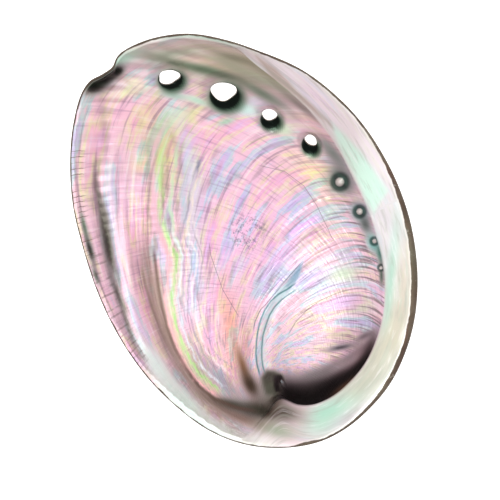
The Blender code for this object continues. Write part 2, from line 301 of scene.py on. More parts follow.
def spoke_facts(angle):
    """What the profile along each spoke is worked out from."""
    steep = around(STEEPNESS, angle)
    rim = around(RIM, angle)
    wall = mix(LIP_THICKNESS, BACK_WALL_THICKNESS, steep)
    width = np.maximum(around(SHELF_WIDTH, angle), 0.0)
    return {
        "rim": rim,
        "wall": wall,
        "inner": rim - wall,
        "shelf": width,
        "edge": rim - wall - np.maximum(width - wall, 0.0) * np.minimum(width / SHELF_RAMP, 1.0),
        "overhang": np.clip(around(OVERHANG, angle), 0.0, 1.0),
        "across": mix(*DOME_ACROSS, steep),
        "upright": mix(*DOME_UPRIGHT, steep),
    }


def dome(radius, reach, depth, facts):
    """The height of a dome under each spoke, from -depth in the middle to 0 at its reach."""
    share = np.clip(radius / reach, 0.0, 1.0)
    return -depth * (1.0 - share ** facts["across"]) ** (1.0 / facts["upright"])


def profiles(angle):
    """Each spoke's control points, as two arrays: radius and height, by step and by spoke."""
    facts = spoke_facts(angle)
    rim, wall, inner, edge = (facts[k] for k in ("rim", "wall", "inner", "edge"))
    over = facts["overhang"]

    def floor(radius):
        return np.stack([radius, dome(radius, inner, DEPTH - FLOOR_THICKNESS, facts)])

    def level(radius, height):
        return np.stack([radius, np.full(radius.shape, height)])

    floor_end = mix(edge - 3.0, inner * SHELF_HOLLOW_TOP, over)
    sweep = np.arcsin(floor_end / inner)
    line = [floor(inner * np.sin(sweep * i / FLOOR_STEPS)) for i in range(FLOOR_STEPS)]
    under = -SHELF_DROP - SHELF_EDGE
    # Where nothing hangs over, the same steps run up a plain wall.
    crease = [floor(edge - gap) for gap in (3.0, 2.3, 1.6, 1.0, 0.6, 0.3, 0.0)]
    # From deep in the hollow, out along the shelf's underside and round its edge.
    ledge = [
        floor(floor_end),
        level(inner * 0.975, under - 1.8),
        level(inner * 0.955, under - 0.3),
        level(mix(edge, inner, 0.5), under),
        level(edge + 0.9, under),
        level(edge - 0.3, under + 0.9),
        level(edge, under + SHELF_EDGE),
    ]
    line += [mix(plain, hung, over) for plain, hung in zip(crease, ledge)]
    crest = level(rim - 0.45 * wall, 0.15)
    line += [mix(line[-1], crest, share) for share in (0.45, 0.82)]
    line.append(crest)
    for i in range(BACK_STEPS + 1):
        radius = rim * math.cos(math.pi / 2 * i / BACK_STEPS)
        line.append(np.stack([radius, dome(radius, rim, DEPTH, facts)]))
    return np.stack(line)


def eased_profiles(line, steps):
    """Reads the control points as a B-spline at fractional steps, mirrored past both poles."""
    mirror = np.array([-1.0, 1.0])[:, None]
    padded = np.concatenate([line[1:2] * mirror, line, line[-2:-1] * mirror, line[-3:-2] * mirror])
    whole = np.minimum(np.floor(steps).astype(int), len(line) - 1)
    t = (steps - whole)[:, None, None]
    return (
        (1 - t) ** 3 * padded[whole]
        + (3 * t**3 - 6 * t**2 + 4) * padded[whole + 1]
        + (-3 * t**3 + 3 * t**2 + 3 * t + 1) * padded[whole + 2]
        + t**3 * padded[whole + 3]
    ) / 6


print("profile steps:", len(profiles(np.array([0.0]))))

# %% [markdown]
# The mesh starts as a sphere from Blender, dense enough that one face is about a millimetre. Rings are
# shared out as listed: more on the pearly floor and round the shelf's edge, fewer down the back.

# %% Lay the sphere over the profiles
SPOKES = 400
# (rings up to here, profile step reached there)
RING_PLAN = ((0, 0.0), (84, 12.0), (128, 21.5), (138, 24.0), (222, 37.0))
RINGS = RING_PLAN[-1][0]


def even_spokes(count):
    """Angles that part the rim into equal lengths."""
    fine = np.linspace(0.0, 360.0, 1441)
    radius, turn = around(RIM, fine), np.radians(fine)
    x, y = radius * np.cos(turn), radius * np.sin(turn)
    run = np.concatenate([[0.0], np.cumsum(np.hypot(np.diff(x), np.diff(y)))])
    return np.interp(np.arange(count) / count * run[-1], run, fine)


def make_body():
    """The shell without relief: the mesh, each vertex's profile step and its spoke angle."""
    bm = bmesh.new()
    bmesh.ops.create_uvsphere(bm, u_segments=SPOKES, v_segments=RINGS, radius=1.0)
    mesh = bpy.data.meshes.new("shell_surface")
    bm.to_mesh(mesh)
    bm.free()
    ball = np.empty(len(mesh.vertices) * 3)
    mesh.vertices.foreach_get("co", ball)
    ball = ball.reshape(-1, 3)
    ring = np.rint(np.arccos(np.clip(ball[:, 2], -1, 1)) / math.pi * RINGS).astype(int)
    spoke = np.rint(np.arctan2(ball[:, 1], ball[:, 0]) / math.tau * SPOKES).astype(int) % SPOKES
    angles = even_spokes(SPOKES)
    ring_steps = np.interp(np.arange(RINGS + 1), *np.array(RING_PLAN).T)
    grid = eased_profiles(profiles(angles), ring_steps)
    radius, height = grid[ring, 0, spoke], grid[ring, 1, spoke]
    turn = np.radians(angles[spoke])
    places = np.stack([radius * np.cos(turn), radius * np.sin(turn), height], -1)
    return mesh, places, ring_steps[ring], angles[spoke]


def set_places(mesh, places):
    mesh.vertices.foreach_set("co", places.astype(np.float32).ravel())
    mesh.update()


def normals_of(mesh):
    normals = np.empty(len(mesh.vertices) * 3)
    mesh.vertex_normals.foreach_get("vector", normals)
    return normals.reshape(-1, 3)


mesh, places, step, spoke_angle = make_body()
set_places(mesh, places)
print("body:", len(mesh.vertices), "vertices,", len(mesh.polygons), "faces")

# %% [markdown]
# Every vertex now gets its growth facts: age, berth and lane, its distance from the row of holes, from
# the rim and from the shelf's edge. Relief and colour both read them, so they always agree.

# %% Holes, and facts for every vertex
OPEN_HOLES = {
    # name: (pixel in the photograph, length and width in millimetres, tilt of its length in degrees)
    "newest": ((169.5, 77.5), 7.6, 5.8, 2.0),
    "largest": ((224.2, 93.8), 9.4, 8.0, -6.0),
    "third": ((269.8, 118.2), 6.0, 5.1, -12.0),
    "oldest": ((310.0, 144.0), 5.4, 4.5, -48.0),
}
SEALED_HOLES = {
    # name: (pixel, radius of its dark ring, height of the pearl in it), in millimetres
    "blister_1": ((341.0, 181.0), 3.3, 0.95),
    "blister_2": ((361.0, 211.0), 2.4, 0.65),
    "blister_3": ((376.0, 241.0), 1.7, 0.45),
    "blister_4": ((382.5, 268.0), 1.4, 0.35),
}
# Profile steps over which the shelf's top and the back begin.
SHELF_STARTS = (18.2, 19.0)
BACK_STARTS = (RIM_STEP + 0.3, RIM_STEP + 1.6)
# Widths in millimetres over which a growing shelf starts to count as one, at its upper and low ends.
SHELF_NARROWEST = 1.8
UPPER_END_WIDTH = 4.0
LOW_END_WIDTH = 11.0
# Spokes past this angle, in degrees, meet the low end first.
LOW_END_SIDE = 150


class Facts:
    """What relief and colour need to know about a set of places on the plan."""

    def __init__(self, places, step, spoke_angle):
        self.x, self.y, _ = places.T
        self.step = step
        self.age, self.berth, self.lane, self.from_apex = growth(self.x, self.y)
        self.off_row, self.turned = off_the_row(self.x, self.y)
        self.angle_from_apex = angle_about_apex(self.x, self.y)
        spoke = spoke_facts(spoke_angle)
        radius = np.hypot(self.x, self.y)
        _, spoke_index = np.unique(np.round(spoke_angle, 3), return_inverse=True)
        widest = np.zeros(spoke_index.max() + 1)
        np.maximum.at(widest, spoke_index, radius)
        self.rim_gap = widest[spoke_index] - radius
        self.edge_gap = radius - spoke["edge"]
        self.overhang = spoke["overhang"]
        self.angle = spoke_angle
        self.outside = ease(*BACK_STARTS, step)
        broad = np.where(spoke_angle > LOW_END_SIDE, LOW_END_WIDTH, UPPER_END_WIDTH)
        shelf = ease(*SHELF_STARTS, step) * (1 - self.outside)
        self.on_shelf = shelf * ease(SHELF_NARROWEST, broad, spoke["shelf"])
        self.on_floor = (1 - self.outside) * (1 - self.on_shelf)
        self.degree = GROWTH * self.from_apex * math.radians(1.0)

    def gap_to(self, pixel):
        """Distance in millimetres to a pixel of the photograph."""
        centre = from_photo(pixel)
        return np.hypot(self.x - centre[0], self.y - centre[1])

    def gap_to_line(self, pixels):
        """Signed distance to a line through pixels, and the share of its length at the nearest point."""
        points = from_photo(pixels)
        runs = np.hypot(*np.diff(points, axis=0).T)
        total = runs.sum()
        best = np.full(self.x.shape, 1e3)
        signed = np.full(self.x.shape, 1e3)
        share = np.zeros(self.x.shape)
        start = 0.0
        for a, b, run in zip(points, points[1:], runs):
            along = ((self.x - a[0]) * (b[0] - a[0]) + (self.y - a[1]) * (b[1] - a[1])) / run**2
            along = np.clip(along, 0.0, 1.0)
            near_x, near_y = mix(a[0], b[0], along), mix(a[1], b[1], along)
            gap = np.hypot(self.x - near_x, self.y - near_y)
            side = (b[0] - a[0]) * (self.y - a[1]) - (b[1] - a[1]) * (self.x - a[0])
            closer = gap < best
            best = np.where(closer, gap, best)
            signed = np.where(closer, gap * np.sign(side), signed)
            share = np.where(closer, (start + along * run) / total, share)
            start += run
        return signed, share

    def gap_to_growth_line(self, table, blur=1.5):
        """Distance inwards from an old lip given as (berth, age) pairs, in millimetres."""
        berths, ages = np.array(table, float).T
        line = sum(np.interp(self.berth + blur * k, berths, ages) for k in (-2, -1, 0, 1, 2)) / 5
        return (self.age - line) * self.degree


facts = Facts(places, step, spoke_angle)
print("ages on the floor:", round(float(facts.age.min())), "to", round(float(facts.age.max())), "degrees")

# %% [markdown]
# Relief on the pearly side. The wall is thin, so a broad fold shows on both faces: it is added to the
# inside and taken from the back. Each fold follows an old lip, so its line is given by ages at a few
# berths. Sculpting could make such folds too, but not with the same line for shape and colour.

# %% Folds shared by both faces
# Each line is an old lip: (berth on the lip in degrees, age in degrees).
LIP_GROOVE = ((98, 4.4), (109, 4.4), (113, 5.2), (118, 5.8), (121, 5.2), (128, 5.0), (136, 3.2), (150, 2.5))
DARK_FOLD = ((104, 15.5), (120, 14.6), (126, 14.3), (137, 13.8), (151, 13.0), (172, 13.2), (200, 11.5))
YELLOW_RIDGE = (
    (98, 14.0), (103, 14.7), (110, 16.2), (118, 17.9), (120, 20.3), (126, 21.1), (130, 19.8),
    (139, 20.1), (149, 19.9), (163, 21.0), (190, 23.0),
)
LONG_RIDGE = (
    (98, 16.5), (102, 17.3), (111, 18.8), (115, 19.8), (120, 22.5), (130, 21.8), (145, 26.3),
    (170, 30.7), (226, 42.2),
)
SHORT_RIDGE = ((98, 24.0), (100.5, 23.5), (104, 22.2), (110, 23.6), (118, 22.8), (130, 27.0))
CHAIN = ((112, 63.5), (131, 62.5), (149, 66.8), (182, 73.4), (233, 90.7))

groove_gap = facts.gap_to_growth_line(LIP_GROOVE)
fold_gap = facts.gap_to_growth_line(DARK_FOLD)
yellow_gap = facts.gap_to_growth_line(YELLOW_RIDGE)
long_gap = facts.gap_to_growth_line(LONG_RIDGE)
short_gap = facts.gap_to_growth_line(SHORT_RIDGE)
chain_gap = facts.gap_to_growth_line(CHAIN, 5.0)
groove_share = window(facts.berth, (100, 112), (138, 152))
fold_share = window(facts.berth, (108, 128), (205, 225))


def shared_folds(f):
    """Height towards the mouth of the folds that go through the whole wall, in millimetres."""
    groove = -1.0 * bump(groove_gap, 1.1) + 0.45 * bump(groove_gap + 2.6, 1.6)
    fold = -0.9 * bump(fold_gap, 2.6) + 0.35 * bump(fold_gap + 4.5, 2.5)
    swell = 0.16 * grain(f.age * 0.45, f.berth * 0.035, 1.0) * ease(20, 45, f.from_apex)
    return groove_share * groove + fold_share * fold + swell


print("vertices at the dark fold's berths:", int((fold_share > 0.5).sum()))

# %% [markdown]
# Finer relief of the inside: the trough along the row of holes, the hollow of the spire with its curl,
# a dip round each hole, a pearl in each sealed one, thin ridges where the lip once stood, and ripples
# along the lanes and the growth lines, which cross like a weave.

# %% Ridges, ripples and blisters of the pearly side
SPIRE_MIDDLE = APEX + np.array([9.0, -2.0])
SPIRE_HEIGHT = 4.4
SPIRE_WIDTH = 15.0
CURL_PLACE = APEX + np.array([-3.5, 1.3])
CURL_HEIGHT = 2.4
CURL_WIDTH = 3.5
ROW_WIDTH = 5.5
ROW_END = math.radians(200)
DIP = 0.75
RIBS_PER_LANE = 21.0
SCAR_PATCH = (247.0, 232.0)


def hole_reach(f, pixel, length, width, tilt):
    """Distance from an open hole's middle, as a share of its own oval outline."""
    centre = from_photo(pixel)
    turn = math.radians(tilt) - LEAN
    u = (f.x - centre[0]) * math.cos(turn) + (f.y - centre[1]) * math.sin(turn)
    v = (f.y - centre[1]) * math.cos(turn) - (f.x - centre[0]) * math.sin(turn)
    return np.hypot(u / (length / 2), v / (width / 2))


def along_row(f):
    """1 along the row of holes, in a band that narrows with the spiral, and 0 away from it."""
    size = np.exp(-GROWTH * f.turned)
    in_row = np.where(f.turned < ROW_END, 1.0, 0.0)
    return in_row * bump(f.off_row, ROW_WIDTH * np.sqrt(size) + 1.0)


def pearly_relief(f):
    """Height of the inside above its plain dome, in millimetres."""
    height = -0.6 * along_row(f)
    height -= SPIRE_HEIGHT * bump(np.hypot(f.x - SPIRE_MIDDLE[0], f.y - SPIRE_MIDDLE[1]), SPIRE_WIDTH)
    height += CURL_HEIGHT * bump(np.hypot(f.x - CURL_PLACE[0], f.y - CURL_PLACE[1]), CURL_WIDTH)
    for pixel, length, width, tilt in OPEN_HOLES.values():
        reach = hole_reach(f, pixel, length, width, tilt)
        height -= 1.5 * (1 - ease(0.9, 2.1, reach))
    for pixel, ring, pearl in SEALED_HOLES.values():
        gap = f.gap_to(pixel)
        height += -DIP * bump(gap, ring) + (pearl + 0.55) * bump(gap, 0.48 * ring)
    lip_side = ease(45, 80, f.from_apex) * ease(96, 104, f.berth)
    ridges = 0.42 * bump(yellow_gap, 0.75) + 0.32 * bump(long_gap, 0.7) + 0.26 * bump(short_gap, 0.6)
    ridges -= 0.25 * bump(yellow_gap - 1.6, 1.0) + 0.2 * bump(long_gap - 1.4, 0.9)
    height += ridges * lip_side
    chain_share = ease(116, 122, f.berth)
    height += chain_share * (0.3 * bump(chain_gap, 0.7) - 0.3 * bump(chain_gap - 1.5, 0.8))
    rib_wave = np.sin(math.tau * (RIBS_PER_LANE * f.lane + 0.35 * grain(f.age * 0.2, f.lane * 6, 2.0)))
    near_lip = 1 - ease(4.5, 7.5, f.age)
    rib_height = 0.04 + 0.2 * near_lip
    height += rib_height * rib_wave * ease(14, 30, f.from_apex)
    height += 0.07 * grain(f.age * 0.9, f.berth * 0.06, 3.0) * ease(12, 30, f.from_apex)
    scar = ease(0.4, 0.9, bump(f.gap_to(SCAR_PATCH), 8.0))
    height += 0.14 * scar * grain(f.x / 1.3, f.y / 1.3, 4.0)
    return height


inside_heights = pearly_relief(facts)
print("inside relief:", [round(float(h), 2) for h in (inside_heights.min(), inside_heights.max())], "mm")

# %% [markdown]
# Relief on the back, which the photograph doesn't show. It has what such a shell has: raised tubes
# round the holes, knobs over the sealed ones, a coiled spire, growth folds and cords, and a rough crust.
# A displacement texture could roughen it, but the cords and folds have to follow the growth lines.

# %% The back's tubes, folds and crust
FOLD_TURN = 27.0
OLD_HOLES = range(5, 17)
CORDS_PER_LANE = 12.0
FIRST_KNOB = 2.6


def back_relief(f):
    """Height of the back above its plain dome, in millimetres."""
    height = 1.3 * along_row(f)
    height += SPIRE_HEIGHT * bump(np.hypot(f.x - SPIRE_MIDDLE[0], f.y - SPIRE_MIDDLE[1]), SPIRE_WIDTH)
    height += 1.6 * bump(f.from_apex, 8.0)
    for pixel, length, width, tilt in OPEN_HOLES.values():
        reach = hole_reach(f, pixel, length, width, tilt)
        height += 2.0 * (1 - ease(1.3, 2.3, reach))
    for back in OLD_HOLES:
        place = row_place(back)
        shrunk = math.exp(-0.35 * GROWTH * math.radians(HOLE_STEP * (back - OLD_HOLES.start)))
        knob = FIRST_KNOB * shrunk
        gap = np.hypot(f.x - place[0], f.y - place[1])
        height += 1.1 * bump(gap, knob) - 0.5 * bump(gap, 0.35 * knob)
    spread = np.minimum(f.from_apex / 30.0, 1.0)
    height += 0.5 * spread * np.sin(math.tau * f.age / FOLD_TURN)
    growth_ridge = grain(f.age * 0.32, f.berth * 0.03, 5.0)
    height += 0.45 * spread * np.abs(growth_ridge) ** 0.7 * np.sign(growth_ridge)
    cord = np.sin(math.tau * (CORDS_PER_LANE * f.lane + 0.5 * grain(f.age * 0.08, f.lane * 3, 6.0)))
    height += 0.28 * spread * cord * (0.6 + 0.4 * grain(f.x / 9, f.y / 9, 7.0))
    height += 0.22 * grain(f.x / 3.1, f.y / 3.1, 8.0) + 0.12 * grain(f.x / 1.4, f.y / 1.4, 9.0)
    suture = np.log(np.maximum(f.from_apex, NEAREST)) - suture_distance(f.angle_from_apex)
    return height - 0.9 * bump(suture * f.from_apex, 1.3) * ease(2.0, 5.0, f.from_apex)


back_heights = back_relief(facts)
print("back relief:", [round(float(h), 2) for h in (back_heights.min(), back_heights.max())], "mm")

# %% [markdown]
# The relief is raised along the normals of the smooth body, which keeps the wall's thickness even on
# steep parts. It fades out in the hollow under the shelf and at the rim, where the two sides meet.

# %% Raise the relief along the normals
HOLLOW_STARTS = (12.3, 13.5)
flat_normals = normals_of(mesh)
under_shelf = ease(*HOLLOW_STARTS, step) * ease(0.0, 0.2, facts.overhang) * (step < RIM_STEP)
inside_share = facts.on_floor * (1 - under_shelf) * ease(0.5, 2.2, facts.rim_gap)
back_share = ease(RIM_STEP + 1.2, RIM_STEP + 3.2, step)
folds = shared_folds(facts)
lift = inside_share * (inside_heights + folds) + back_share * (back_heights - folds)
shelf_wave = 0.10 * grain(facts.angle * 0.12, facts.edge_gap * 0.25, 10.0)
lift += facts.on_shelf * ease(0.5, 2.0, facts.rim_gap) * shelf_wave
places = places + flat_normals * lift[:, None]
set_places(mesh, places)
print("relief from", round(float(lift.min()), 2), "to", round(float(lift.max()), 2), "mm")

# %% [markdown]
# The four open holes are real holes. One mesh of four tapering plugs, each with its own slightly
# uneven outline, is taken away from the wall with a single Boolean. A dark spot painted on would be
# quicker, but light couldn't pass through it. The plugs lean a little outwards on their way down, as
# the holes of a living shell do, so the view into the mouth shows a crescent of each hole's wall.

# %% Cut the open holes
PLUG_SIDES = 36
PLUG_LEAN = 0.14
PLUG_TAPER = 0.10
PLUG_TOP = 4.0
PLUG_BOTTOM = -46.0
PLUG_MIDDLES = {"newest": -12.0, "largest": -12.0, "third": -13.0, "oldest": -14.0}
# (waves round the outline, size, turn in degrees) for each hole
UNEVEN = {
    "newest": ((2, 0.05, 60), (3, 0.08, 20), (5, 0.03, 0)),
    "largest": ((2, 0.04, 20), (3, 0.07, 90), (4, 0.02, 10)),
    "third": ((3, 0.04, 60), (4, 0.02, 0)),
    "oldest": ((3, 0.05, 0), (5, 0.02, 30)),
}


def plug_outline(name, turn):
    """Share of the plain oval's radius at a turn about the hole's middle."""
    return 1.0 + sum(
        size * math.cos(waves * turn - math.radians(start)) for waves, size, start in UNEVEN[name]
    )


def add_plug(bm, name):
    pixel, length, width, tilt = OPEN_HOLES[name]
    middle = from_photo(pixel)
    outwards = middle / np.hypot(*middle)
    depth = PLUG_TOP - PLUG_BOTTOM
    plug = bmesh.ops.create_cone(
        bm, cap_ends=True, cap_tris=False, segments=PLUG_SIDES, radius1=1.0, radius2=1.0, depth=depth
    )["verts"]
    tilt = math.radians(tilt) - LEAN
    for vert in plug:
        turn = math.atan2(vert.co.y, vert.co.x)
        height = vert.co.z + (PLUG_TOP + PLUG_BOTTOM) / 2
        reach = plug_outline(name, turn) * (1 + PLUG_TAPER * (height - PLUG_MIDDLES[name]) / 10.0)
        u, v = reach * length / 2 * math.cos(turn), reach * width / 2 * math.sin(turn)
        lean = PLUG_LEAN * (PLUG_MIDDLES[name] - height)
        vert.co.x = middle[0] + u * math.cos(tilt) - v * math.sin(tilt) + lean * outwards[0]
        vert.co.y = middle[1] + u * math.sin(tilt) + v * math.cos(tilt) + lean * outwards[1]
        vert.co.z = height


def cut_holes(mesh):
    """The mesh with the four holes cut through it."""
    bm = bmesh.new()
    for name in OPEN_HOLES:
        add_plug(bm, name)
    bmesh.ops.recalc_face_normals(bm, faces=bm.faces)
    plug_mesh = bpy.data.meshes.new("plugs")
    bm.to_mesh(plug_mesh)
    bm.free()
    plugs = bpy.data.objects.new("plugs", plug_mesh)
    body = bpy.data.objects.new("shell_body", mesh)
    for thing in (plugs, body):
        bpy.context.scene.collection.objects.link(thing)
    cut = body.modifiers.new("holes", "BOOLEAN")
    cut.operation = "DIFFERENCE"
    cut.solver = "EXACT"
    cut.object = plugs
    bpy.context.view_layer.update()
    result = bpy.data.meshes.new_from_object(body.evaluated_get(bpy.context.evaluated_depsgraph_get()))
    for thing in (plugs, body):
        bpy.data.objects.remove(thing)
    return result


def places_of(mesh):
    places = np.empty(len(mesh.vertices) * 3)
    mesh.vertices.foreach_get("co", places)
    return places.reshape(-1, 3)


uncut_places = places
mesh = cut_holes(mesh)
places = places_of(mesh)
print("after the holes:", len(mesh.vertices), "vertices,", len(mesh.polygons), "faces")

# %% [markdown]
# The cut added vertices round the holes. Every vertex takes its profile step and spoke from the nearest
# one of the uncut mesh, and its growth facts are worked out again from its place.

# %% Facts of the cut mesh
nearest = KDTree(len(uncut_places))
for index, place in enumerate(uncut_places):
    nearest.insert(place, index)
nearest.balance()
source = np.array([nearest.find(place)[1] for place in places])
facts = Facts(places, step[source], spoke_angle[source])
print("vertices matched:", len(source))

# %% [markdown]
# Colour is laid on in washes, as with a brush: each is a soft oval with a place, a size, a tilt and a
# colour. The pearl changes from pink-lilac on the floor to mint on the shelf and grey-green round the
# holes. A picture of the shell would be quicker, but it would show nothing of how the colours lie.
# Narrow lines are left to the material, because they are finer than the mesh.

# %% Washes of the floor
# (pixel, half length, half width in pixels, tilt in degrees, colour 0-255, strength)
FLOOR_COLOUR = (244, 219, 230)
FLOOR_WASHES = (
    ((125, 170), 75, 30, 80, (238, 214, 222), 0.8),
    ((85, 150), 62, 8, 86, (255, 248, 236), 0.95),
    ((91, 200), 40, 6, -84, (240, 226, 230), 0.7),
    ((118, 110), 30, 14, 20, (250, 212, 228), 0.6),
    ((103, 125), 34, 3.5, -86, (196, 178, 184), 0.65),
    ((143, 140), 26, 3, -80, (206, 184, 186), 0.5),
    ((176, 150), 30, 3, -74, (176, 160, 140), 0.6),
    ((157, 150), 28, 12, 100, (240, 228, 170), 0.85),
    ((180, 115), 26, 10, 30, (226, 234, 176), 0.85),
    ((134, 84), 18, 9, 20, (244, 240, 238), 0.9),
    ((128, 92), 16, 4, 10, (236, 240, 190), 0.7),
    ((192, 170), 50, 9, 102, (214, 222, 248), 0.7),
    ((228, 112), 30, 10, 20, (250, 212, 226), 0.6),
    ((198, 104), 13, 5, -10, (226, 214, 208), 0.8),
    ((172, 94), 13, 3, -8, (128, 186, 158), 0.6),
    ((197, 99), 9, 2.5, -20, (176, 232, 206), 0.7),
    ((226, 120), 8, 2.5, 18, (128, 200, 158), 0.7),
    ((156, 160), 34, 7, 86, (198, 194, 158), 0.6),
    ((128, 200), 34, 10, 88, (222, 204, 234), 0.6),
    ((126, 320), 24, 7, -66, (206, 204, 206), 0.6),
    ((133, 81), 12, 4, -16, (255, 255, 214), 0.75),
    ((138, 163), 10, 7, 60, (228, 232, 160), 0.6),
    ((247, 108), 12, 6, -10, (206, 246, 238), 0.9),
    ((284, 128), 10, 6, -20, (196, 236, 190), 0.7),
    ((314, 172), 26, 12, -45, (255, 250, 200), 0.9),
    ((330, 215), 22, 10, -60, (236, 238, 200), 0.5),
    ((150, 215), 22, 16, 90, (248, 210, 230), 0.7),
    ((132, 245), 40, 9, -84, (234, 206, 214), 0.7),
    # The next nine washes are painted shade: down the steep fold at the lower left, darkest in the trough
    # where the shelf ends.
    ((147, 262), 22, 7, -80, (178, 152, 142), 0.75),
    ((155, 295), 24, 8, -74, (158, 134, 122), 0.8),
    ((168, 338), 28, 8, -66, (146, 120, 110), 0.85),
    ((190, 377), 24, 6, -52, (142, 116, 108), 0.85),
    ((216, 404), 26, 6, -32, (120, 96, 84), 0.9),
    ((245, 421), 26, 5, -16, (136, 104, 90), 0.8),
    ((238, 407), 24, 5, -16, (40, 42, 28), 0.95),
    ((262, 412), 20, 8, -8, (54, 56, 42), 0.97),
    ((284, 413), 14, 6, -10, (80, 78, 64), 0.9),
    ((276, 431), 18, 7, -8, (158, 178, 150), 0.9),
    ((136, 330), 34, 8, -62, (232, 216, 220), 0.85),
    # The pale mint lip at the low end: partly its own colour, partly a painted highlight where it faces the
    # light.
    ((158, 368), 30, 8, -58, (228, 250, 240), 0.95),
    ((186, 404), 28, 9, -45, (222, 252, 240), 1.0),
    ((222, 430), 34, 8, -26, (240, 255, 246), 1.0),
    ((256, 440), 24, 6, -8, (246, 252, 244), 0.95),
    ((194, 240), 60, 7, -85, (206, 226, 232), 0.75),
    ((208, 300), 40, 8, -75, (222, 210, 226), 0.6),
    # These three washes are painted shade on the steep wall at the lower left.
    ((206, 368), 28, 8, -56, (186, 180, 184), 0.75),
    ((196, 372), 22, 5, -54, (158, 152, 136), 0.8),
    ((228, 388), 22, 6, -48, (150, 148, 150), 0.75),
    ((230, 328), 34, 8, -84, (240, 186, 150), 0.95),
    ((246, 343), 16, 4, -84, (204, 160, 156), 0.8),
    ((243, 368), 18, 4, -72, (122, 82, 54), 0.95),
    ((251, 387), 13, 6.5, -60, (58, 46, 34), 0.97),
    ((240, 240), 60, 40, 80, (248, 212, 244), 0.6),
    ((285, 230), 40, 26, 60, (246, 216, 246), 0.5),
    ((330, 290), 45, 26, 30, (242, 232, 232), 0.6),
    ((345, 275), 16, 7, 15, (202, 236, 190), 0.6),
    ((362, 310), 20, 9, 10, (206, 210, 212), 0.7),
    # This wash and the next are painted highlights: a glare on the floor beside the pit and a glint on top
    # of the curl.
    ((296, 350), 26, 16, 20, (248, 238, 240), 0.85),
    ((268, 367), 5, 2.5, 0, (255, 255, 250), 0.9),
    ((345, 336), 28, 7, 20, (206, 194, 200), 0.7),
)
print("washes of the floor:", len(FLOOR_WASHES))

# %% [markdown]
# Above the row of holes the wall is painted olive-grey with pink streaks: painted shade and painted dark
# reflections of the steep glossy wall. The shelf is paler and cooler, mint along its edge and cream
# towards the rim.

# %% Washes of the wall and the shelf
WALL_SHADE_AND_REFLECTION_WASHES = (
    # The olive and grey-green washes here are painted shade and painted dark reflections on the steep wall.
    ((205, 60), 60, 15, -8, (158, 162, 136), 0.9),
    ((270, 82), 50, 13, -28, (154, 162, 132), 0.9),
    ((250, 62), 34, 5, -22, (190, 176, 152), 0.7),
    ((200, 50), 26, 4, -6, (226, 206, 200), 0.8),
    ((244, 78), 40, 3, -24, (232, 202, 182), 0.75),
    ((206, 69), 44, 4, -14, (86, 106, 82), 0.85),
    ((176, 53), 22, 4, 8, (150, 168, 144), 0.6),
    ((195, 59), 18, 3, -8, (232, 206, 200), 0.8),
    ((234, 57), 20, 3, -16, (116, 120, 96), 0.7),
    ((290, 106), 34, 8, -35, (190, 168, 176), 0.8),
    ((318, 128), 30, 5, -42, (255, 220, 220), 0.9),
    ((334, 152), 22, 6, -50, (108, 118, 112), 0.85),
    ((262, 92), 24, 4, -30, (92, 106, 90), 0.8),
    ((272, 74), 24, 3, -30, (112, 110, 84), 0.6),
    ((300, 104), 24, 3, -38, (112, 106, 100), 0.7),
    ((120, 60), 18, 5, 25, (160, 216, 190), 0.7),
)
RIDGE_WASHES = (
    ((230, 42), 70, 5, -6, (140, 170, 152), 0.85),
    ((262, 58), 26, 6, -28, (226, 216, 216), 0.8),
    ((290, 74), 34, 10, -35, (255, 255, 255), 1.0),
    ((322, 102), 34, 9, -45, (255, 248, 255), 0.95),
    ((376, 160), 60, 9, -62, (255, 246, 252), 0.95),
    ((385, 225), 46, 14, -80, (238, 234, 240), 0.9),
    ((391, 285), 50, 4, -95, (192, 232, 214), 0.95),
    ((401, 300), 50, 7, -98, (226, 218, 198), 0.8),
    ((386, 345), 40, 9, -118, (206, 202, 180), 0.85),
    ((366, 382), 36, 9, -136, (190, 190, 172), 0.85),
    ((346, 418), 26, 6, -152, (214, 202, 212), 0.8),
    ((326, 413), 26, 8, -155, (180, 226, 206), 0.95),
    ((300, 430), 26, 8, -165, (190, 238, 214), 0.95),
    ((270, 432), 18, 8, 0, (178, 196, 172), 0.9),
    # Painted shade in the trough where the shelf ends.
    ((280, 412), 16, 7, -14, (96, 90, 76), 0.95),
)
SHELF_COLOUR = (228, 230, 224)
SHELF_SHADE = 0.94
print("washes of the wall and the shelf:", len(WALL_SHADE_AND_REFLECTION_WASHES) + len(RIDGE_WASHES))
